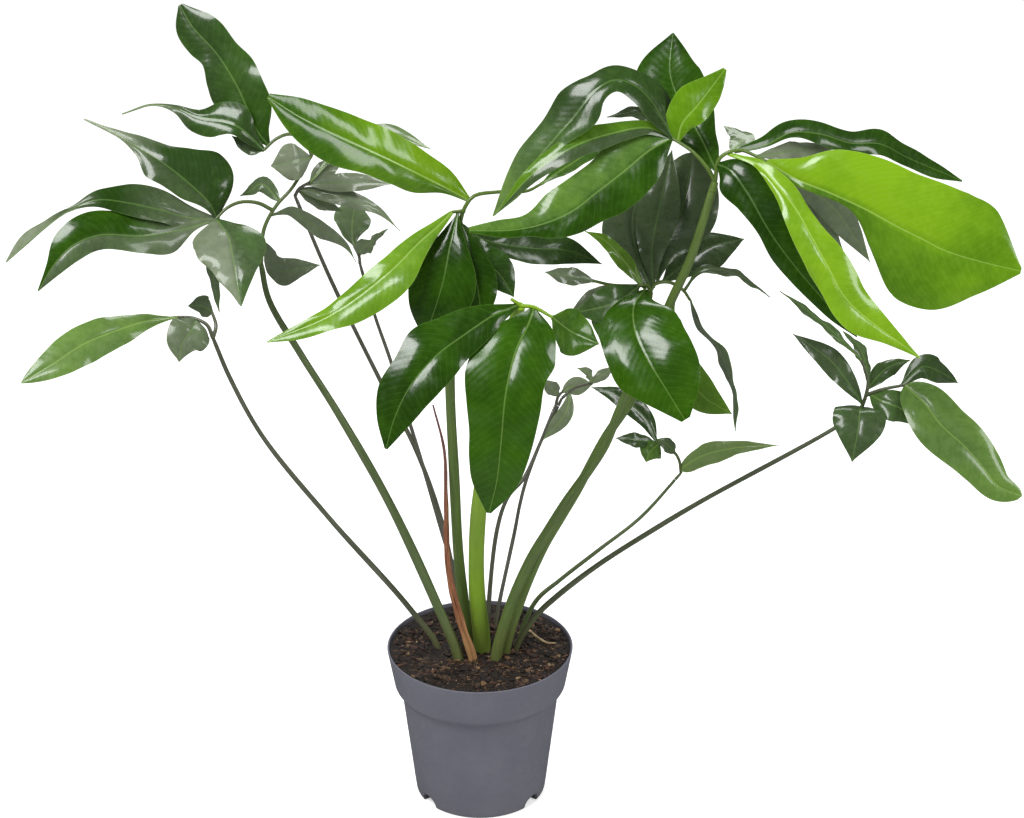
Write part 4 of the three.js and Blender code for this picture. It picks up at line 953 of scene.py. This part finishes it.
def pot_material(weathering):
    """Matte grey-violet moulded plastic: fine grain, faint clouds, upright scuffs and a dusty foot."""
    material, wire, shader = material_wiring("matte_pot_plastic")
    place = object_place(wire)
    masks = wire.group(weathering, Place=place, Seed=0.0)
    _, _, height = wire.node("ShaderNodeSeparateXYZ", {0: place}).outputs
    scuffs = wire.ease(wire.noise(wire.stretch(place, (1.0, 1.0, 0.14)), 260.0, 4.0, 0.7), 0.63, 0.78)
    colour = wire.blend(masks["Patches"], (0.112, 0.112, 0.142), (0.124, 0.124, 0.154))
    colour = wire.tint(colour, masks["Blotches"], 0.25, (0.100, 0.100, 0.127))
    colour = wire.tint(colour, scuffs, 0.25, (0.23, 0.23, 0.26))
    dust = wire.times(wire.ease(height, 0.03, 0.0, 0.0, 1.0), masks["Blotches"])
    colour = wire.tint(colour, dust, 0.2, (0.20, 0.18, 0.16))
    rough = wire.times_plus(masks["Blotches"], 0.08, 0.47)
    rough = wire.times_plus(scuffs, 0.1, rough)
    raised = wire.times_plus(scuffs, 0.5, masks["Grain"])
    wire.surface(shader, colour, rough, raised, 0.00012)
    return material


def soil_material(weathering):
    """Damp peat: dark brown crumbs with paler flecks, rough all over."""
    material, wire, shader = material_wiring("peat_soil")
    place = object_place(wire)
    masks = wire.group(weathering, Place=place, Seed=0.3)
    crumbs = wire.noise(place, 420.0, 5.0, 0.7)
    colour = wire.ramp(
        crumbs, (0.3, (0.003, 0.002, 0.001)), (0.78, (0.052, 0.026, 0.013)), (0.55, (0.010, 0.005, 0.003))
    )
    flecks = wire.ease(wire.noise(place, 900.0, 2.0), 0.68, 0.76)
    colour = wire.tint(colour, flecks, 0.5, (0.20, 0.13, 0.07))
    colour = wire.tint(colour, masks["Patches"], 0.3, (0.020, 0.013, 0.008))
    raised = wire.times_plus(masks["Grain"], 0.3, crumbs)
    wire.surface(shader, colour, wire.ease(crumbs, 0.3, 0.7, 0.6, 0.95), raised, 0.0014)
    return material


def litter_material(weathering):
    """Bark chips, fibres and pale specks: each piece's own shade from dark bark to bleached straw."""
    material, wire, shader = material_wiring("bark_litter")
    _, (paleness, redness, seed) = wire.mark("look")
    place = object_place(wire)
    masks = wire.group(weathering, Place=place, Seed=seed)
    shade = wire.times_plus(wire.minus(masks["Blotches"], 0.5), 0.18, paleness)
    colour = wire.ramp(
        shade,
        (0, (0.007, 0.004, 0.003)),
        (1, (0.50, 0.38, 0.22)),
        (0.35, (0.022, 0.011, 0.006)),
        (0.7, (0.15, 0.085, 0.036)),
    )
    colour = wire.tint(colour, redness, 0.4, (0.13, 0.045, 0.025))
    rough = wire.ease(masks["Grain"], 0.3, 0.7, 0.55, 0.85)
    wire.surface(shader, colour, rough, masks["Grain"], 0.0003)
    return material


def dimmer_in_reflections(wire, bright, dim):
    """A strength for light that shiny surfaces see as dimmer, as the dark side of a studio would be."""
    shiny = wire.node("ShaderNodeLightPath").outputs["Is Glossy Ray"]
    return wire.times_plus(shiny, dim - bright, bright)


def floor_material():
    """White studio floor, lit evenly, with only a breath of unevenness. The camera sees it brighter."""
    material, wire, shader = material_wiring("studio_floor")
    cloud = wire.noise(object_place(wire), 0.9, 2.0)
    shade = dimmer_in_reflections(wire, FLOOR_LIGHT, FLOOR_IN_REFLECTIONS)
    colour = wire.node("ShaderNodeCombineColor", {0: shade, 1: shade, 2: shade}).outputs[0]
    wire.feed(shader["Base Color"], wire.tint(colour, cloud, 0.05, (0.80, 0.80, 0.80)))
    wire.feed(shader["Emission Color"], (1, 1, 1))
    seen = wire.node("ShaderNodeLightPath").outputs["Is Camera Ray"]
    wire.feed(shader["Emission Strength"], wire.times(seen, FLOOR_GLOW))
    wire.feed(shader["Roughness"], wire.ease(cloud, 0.3, 0.7, 0.85, 0.95))
    return material


# Pieces


def placed(piece, node):
    """Lets a finer piece ride on the body and stand for its node."""
    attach(piece, "root")
    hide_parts(node)


def rounded(start, corner, end, steps):
    """Places along the arc that fills a corner, from its start to its end."""
    s = np.linspace(0, 1, steps)[:, None]
    return (1 - s) ** 2 * start + 2 * s * (1 - s) * corner + s**2 * end


def ring(radius, height, sides):
    """Corners evenly round a circle about the pot's axis."""
    angles = 2 * math.pi * np.arange(sides) / sides
    return np.stack([radius * np.cos(angles), radius * np.sin(angles), np.full(sides, float(height))], 1)


def softened(profile):
    """The radii and heights of a profile, each corner rounded as far along its sides as its third number."""
    corners = np.array(profile, float)[:, :2]
    places = []
    for k, (corner, (_, _, reach)) in enumerate(zip(corners, profile)):
        if reach:
            start = corner + unit(corners[k - 1] - corner) * reach
            end = corner + unit(corners[k + 1] - corner) * reach
            places += list(rounded(start, corner, end, CORNER_STEPS))
        else:
            places.append(corner)
    return np.array(places)


def notch_cutter(angle):
    """The arch of one drainage notch, to be cut through the pot's foot at this angle from the front."""
    foot, shoulder = np.array([NOTCH_WIDTH / 2, -1.0]), np.array([NOTCH_WIDTH / 2, NOTCH_HEIGHT])
    right = rounded(foot, shoulder, np.array([0.0, NOTCH_HEIGHT]), NOTCH_STEPS)
    arch = np.vstack([right, (right * (-1, 1))[::-1][1:]])
    depths = (-FOOT_RADIUS + NOTCH_REACH, -FOOT_RADIUS - 10)
    places = [(x, y, z) for y in depths for x, z in arch]
    count = len(arch)
    faces = [[k, (k + 1) % count, count + (k + 1) % count, count + k] for k in range(count)]
    faces += [list(range(count))[::-1], list(range(count, 2 * count))]
    mesh = bpy.data.meshes.new("notch")
    mesh.from_pydata((np.array(places) * MM).tolist(), [], faces)
    bm = bmesh.new()
    bm.from_mesh(mesh)
    bmesh.ops.recalc_face_normals(bm, faces=bm.faces)
    bm.to_mesh(mesh)
    bm.free()
    cutter = put_in("notch", mesh)
    cutter.matrix_world = Matrix.Rotation(math.radians(angle), 4, "Z")
    return cutter


def make_pot(material):
    """A turned pot with a broad collar under a rounded rim, and drainage notches cut through its foot."""
    slope = (STEP_RADIUS - FOOT_RADIUS) / STEP_HEIGHT
    profile = [
        (0, 0, 0),
        (FOOT_RADIUS - 0.2, 0, 3.2),
        *[(FOOT_RADIUS + slope * height, height, 0) for height in SIDE_RINGS],
        (STEP_RADIUS, STEP_HEIGHT, 2.5),
        (COLLAR_FOOT_RADIUS, COLLAR_FOOT_HEIGHT, 2.2),
        (RIM_RADIUS, RIM_HEIGHT, 0.9),
        (RIM_RADIUS - POT_WALL, RIM_HEIGHT, 0.6),
        (COLLAR_FOOT_RADIUS - POT_WALL, COLLAR_FOOT_HEIGHT + POT_WALL, 2),
        (STEP_RADIUS - POT_WALL, STEP_HEIGHT + POT_WALL, 2),
        (FOOT_RADIUS - POT_WALL - 1, FLOOR_THICKNESS, 2.5),
        (0, FLOOR_THICKNESS, 0),
    ]
    rings = softened(profile)[1:-1]
    places = [ring(radius, height, POT_SIDES) for radius, height in rings]
    bottom, floor = np.array([[0, 0, 0.0]]), np.array([[0, 0, float(FLOOR_THICKNESS)]])
    faces = grid_faces(len(rings), POT_SIDES, closed=True)
    count = len(rings) * POT_SIDES
    last = count - POT_SIDES
    for k in range(POT_SIDES):
        after = (k + 1) % POT_SIDES
        faces += [[count, after, k], [count + 1, last + k, last + after]]
    shell = Shell()
    shell.add(np.concatenate([*places, bottom, floor]), faces)
    pot = shell.make("visual_pot", material, smooth_under=35)
    for angle in NOTCH_ANGLES:
        cutter = notch_cutter(angle)
        cut = pot.modifiers.new("notch", "BOOLEAN")
        cut.object, cut.operation, cut.solver = cutter, "DIFFERENCE", "EXACT"
        bpy.context.view_layer.objects.active = pot
        bpy.ops.object.modifier_apply(modifier=cut.name)
        bpy.data.objects.remove(cutter)
    placed(pot, "pot")


def soil_rise(places):
    """How far the soil stands above its level, dying out at the wall."""
    radius = np.hypot(places[:, 0], places[:, 1])
    x, y = places[:, 0], places[:, 1]
    broad = np.sin(x * 0.21 + 1.3) * np.sin(y * 0.17) + 0.7 * np.sin(x * 0.09 - y * 0.31)
    small = 0.8 * lumps(places, 9, 3.1) + 0.6 * lumps(places, 4.2, 8.7)
    return (SOIL_LUMP * 0.6 * broad + small) * np.clip((RIM_RADIUS - radius) / 14, 0, 1)


def make_soil(material):
    """The soil's lumpy face, as far as the pot's wall, closed below."""
    wall = RIM_RADIUS - POT_WALL - CLEARANCE
    slope = (RIM_RADIUS - COLLAR_FOOT_RADIUS) / (RIM_HEIGHT - COLLAR_FOOT_HEIGHT)
    edge = wall - slope * (RIM_HEIGHT - SOIL_HEIGHT) - 0.1
    radii = edge * np.sqrt(np.linspace(0, 1, SOIL_RINGS))[1:]
    face = np.concatenate([ring(radius, SOIL_HEIGHT, SOIL_SIDES) for radius in radii])
    face[:, 2] += soil_rise(face)
    low = face[-SOIL_SIDES:] * (1, 1, 0) + (0, 0, SOIL_HEIGHT - SOIL_EDGE_DEPTH)
    low[:, :2] *= (edge - slope * SOIL_EDGE_DEPTH) / edge
    bottom = low * (0.98, 0.98, 1) + (0, 0, -0.5)
    centre = np.array([[0, 0, SOIL_HEIGHT]])
    centre[:, 2] += soil_rise(centre)
    faces = [corners[::-1] for corners in grid_faces(len(radii) + 2, SOIL_SIDES, closed=True)]
    count = (len(radii) + 2) * SOIL_SIDES
    faces += [[count, k, (k + 1) % SOIL_SIDES] for k in range(SOIL_SIDES)]
    faces += [list(range(count - SOIL_SIDES, count))[::-1]]
    shell = Shell()
    shell.add(np.concatenate([face, low, bottom, centre]), faces)
    placed(shell.make("visual_soil", material), "soil")


def make_litter(material):
    """Bark chips, loose fibres, pale specks and one dry root, bedded in the soil's face."""
    shell = Shell()
    ico = bmesh.new()
    bmesh.ops.create_icosphere(ico, subdivisions=1, radius=1)
    ball = np.array([v.co[:] for v in ico.verts])
    ball_faces = [[v.index for v in f.verts] for f in ico.faces]
    ico.free()
    chance = np.random.default_rng(41)

    def spot(spread=0.985):
        angle = chance.uniform(0, 2 * math.pi)
        radius = LITTER_RADIUS * spread * math.sqrt(chance.uniform())
        place = np.array([[radius * math.cos(angle), radius * math.sin(angle), 0.0]])
        place[0, 2] = SOIL_HEIGHT + soil_rise(place)[0]
        return place[0]

    def add_crumb(place, size, paleness, redness):
        turn = np.array(Matrix.Rotation(chance.uniform(0, 6.3), 3, "Z")
                        @ Matrix.Rotation(chance.normal(0, 0.4), 3, "X"))
        form = np.sign(ball) * np.abs(ball) ** 0.7 * size * chance.uniform(0.75, 1.2, (len(ball), 1))
        look = [paleness, redness, chance.uniform()]
        shell.add(place + form @ turn.T, ball_faces, run=[0, 0, 0], look=look, part=[0, 0, 0])

    for _ in range(CHIPS):
        long = chance.uniform(1.0, 3.1) if chance.uniform() < 0.8 else chance.uniform(3.0, 5.0)
        size = long * np.array([1, chance.uniform(0.35, 0.8), chance.uniform(0.25, 0.5)])
        redness = chance.uniform(0, 1) * (chance.uniform() < 0.35)
        add_crumb(spot() + (0, 0, size[2] * 0.35), size, chance.beta(1.6, 4.0), redness)
    for _ in range(SPECKS):
        size = chance.uniform(0.4, 1.0) * np.array([1, 0.8, 0.6])
        add_crumb(spot() + (0, 0, size[2] * 0.8), size, chance.uniform(0.75, 1.0), 0)

    def add_thread(points, radius, sides, paleness, redness):
        course = Course(points)
        shares = np.linspace(0, 1, max(7, len(points) * 3))
        radii = radius * (1 - 0.6 * np.abs(2 * shares - 1) ** 3)
        strand = Shell()
        add_tube(strand, course, shares, radii, sides, (0, 0))
        look = [paleness, redness, chance.uniform()]
        shell.add(np.concatenate(strand.places), strand.faces, run=[0, 0, 0], look=look, part=[0, 0, 0])

    for _ in range(FIBRES):
        middle, heading, long = spot(0.92), chance.uniform(0, 6.3), chance.uniform(4, 13)
        ahead = np.array([math.cos(heading), math.sin(heading), 0])
        aside = np.array([-ahead[1], ahead[0], 0]) * chance.normal(0, 0.22) * long
        points = np.array([middle - ahead * long / 2, middle + aside, middle + ahead * long / 2])
        if np.hypot(points[:, 0], points[:, 1]).max() < LITTER_RADIUS + 1:
            points[:, 2] = SOIL_HEIGHT + soil_rise(points) + chance.uniform(0.4, 1.5, 3)
            add_thread(points, chance.uniform(0.16, 0.42), 4, chance.uniform(0.25, 0.8), 0.3)
    root = [on_soil(column, row, 2.2) for column, row in DRY_ROOT]
    add_thread(root, ROOT_RADIUS, 10, 0.92, 0)
    placed(shell.make("visual_litter", material, smooth_under=45), "soil")


def stalk_course(foot, bends, head):
    """The line of a stalk, from below the soil's face at its foot to its head."""
    ground = np.array([*foot, SOIL_HEIGHT], float)
    return Course([ground - (0, 0, STALK_DEPTH), ground, *map(at, bends), head])


def make_leaf(leaf, number, stalk_look, leaf_look):
    """One compound leaf: its stalk, and its head of leaflets on forked arms."""
    stalk, name = leaf["stalk"], leaf["name"]
    course = stalk_course(stalk["foot"], stalk["bends"], at(leaf["arms"][0][0]))
    neck = 1 - NECK_LENGTH / course.length
    end = neck - CLEARANCE / course.length

    def fluted(angles, share):
        ribs = 0.03 * np.cos(5 * angles + 2 * number) + 0.02 * np.cos(9 * angles - number)
        return 1 - 0.05 + ribs * (1 - share) + 0.03 * np.sin(share * 23 + number)

    shares = np.linspace(0.4 / course.length, end, STALK_STEPS)
    radii = stalk["radius"] + (stalk["top"] - stalk["radius"]) * shares / end
    shell = Shell()
    add_tube(shell, course, shares, radii, STALK_SIDES, stalk["tone"], fluted)
    placed(shell.make(f"visual_stalk_{name}", stalk_look), f"stalk_{name}")

    head = Shell()
    top = stalk["top"]
    shares = np.linspace(neck, 1, NECK_STEPS)
    add_tube(head, course, shares, np.linspace(top, top * 0.8, NECK_STEPS) * 0.97, NECK_SIDES, stalk["tone"])
    arms = []
    for first, *rest in leaf["arms"]:
        start = at(first) if isinstance(first, list) else on_arm(arms[0], first)
        arm = Course([start, *map(at, rest)])
        shares = np.linspace(0, 1, ARM_STATIONS)
        radii = min(ARM_RADIUS, top) * (1 - shares) + ARM_TIP_RADIUS * shares
        add_tube(head, arm, shares, radii * 0.95, ARM_SIDES, stalk["tone"])
        arms.append(arm)
    for place, leaflet in enumerate(leaf["leaflets"]):
        sizes = USUAL_LEAFLET | leaflet
        add_blade(head, sizes, on_arm(arms[sizes["arm"]], sizes["along"]), 10 * number + place)
    placed(head.make(f"visual_leaf_{name}", leaf_look), f"leaf_{name}")


def make_sheath(material):
    """A dry sheath, crumpled and split along its length, thinning to a curled tip."""
    course = stalk_course(SHEATH["foot"], SHEATH["bends"], at(SHEATH["tip"]))
    shares = np.linspace(0.4 / course.length, 1, 110)
    radii = SHEATH["radius"] + (SHEATH["top"] - SHEATH["radius"]) * shares

    def crumpled(angles, share):
        folds = 0.16 * np.cos(3 * angles + 7 * share) + 0.10 * np.cos(7 * angles - 15 * share)
        split = -0.45 * np.exp(-(((angles - 4.4 - 0.5 * math.sin(9 * share)) / 0.3) ** 2))
        return 0.94 + folds * (1 - 0.5 * share) + split + 0.05 * math.sin(60 * share)

    shell = Shell()
    add_tube(shell, course, shares, radii, 34, (0, 0), crumpled)
    placed(shell.make("visual_dry_sheath", material, smooth_under=80), "dry_sheath")


def add_softbox(name, place, aim, size, power):
    """A soft rectangular lamp, aimed at a place. Its power is in watts."""
    lamp = bpy.data.lights.new(name, "AREA")
    lamp.shape, lamp.size, lamp.size_y, lamp.energy = "RECTANGLE", *size, power
    turn = (Vector(aim) - Vector(place)).to_track_quat("-Z", "Y").to_matrix().to_4x4()
    put_in(name, lamp).matrix_world = Matrix.Translation(place) @ turn


def make_studio():
    """White floor and background light, soft boxes and the camera that the photograph was taken from."""
    mesh = bpy.data.meshes.new("floor")
    mesh.from_pydata([(-20, -20, 0), (20, -20, 0), (20, 20, 0), (-20, 20, 0)], [], [[0, 1, 2, 3]])
    mesh.materials.append(floor_material())
    floor = put_in("floor", mesh)

    world = bpy.data.worlds.new("studio")
    world.use_nodes = True
    sky = world.node_tree.nodes["Background"].inputs
    wire = Wiring(world.node_tree)
    wire.feed(sky["Color"], (1, 1, 1))
    wire.feed(sky["Strength"], dimmer_in_reflections(wire, FILL_LIGHT, FILL_IN_REFLECTIONS))
    bpy.context.scene.world = world

    add_softbox("key_softbox", (-0.9, -1.1, 2.3), (0.0, 0.0, 0.5), (1.2, 0.9), 52)
    add_softbox("right_softbox", (1.8, -0.9, 1.5), (0.1, 0.0, 0.45), (0.6, 1.2), 20)
    add_softbox("back_softbox", (0.2, 1.4, 2.2), (0.05, 0.0, 0.6), (1.5, 0.7), 22)

    camera = bpy.data.cameras.new("camera")
    camera.sensor_fit, camera.sensor_width = "HORIZONTAL", 36
    camera.lens = camera.sensor_width * VIEW_DISTANCE / (PHOTO_WIDTH * PIXEL)
    camera.clip_end = 60
    holder = put_in("camera", camera)
    axes = Matrix((VIEW_RIGHT, VIEW_UP, -VIEW_FORWARD)).transposed().to_4x4()
    holder.matrix_world = Matrix.Translation(EYE * MM) @ axes
    bpy.context.scene.camera = holder
    bpy.context.scene.view_settings.view_transform = "Standard"


make_studio()
weathering = weathering_group()
stalk_skin = stalk_skin_group()
leaf_look = leaf_material(weathering, stalk_skin)
stalk_look = stalk_material(weathering, stalk_skin)
make_pot(pot_material(weathering))
make_soil(soil_material(weathering))
make_litter(litter_material(weathering))
make_sheath(sheath_material(weathering))
for number, leaf in enumerate(LEAVES):
    make_leaf(leaf, number, stalk_look, leaf_look)
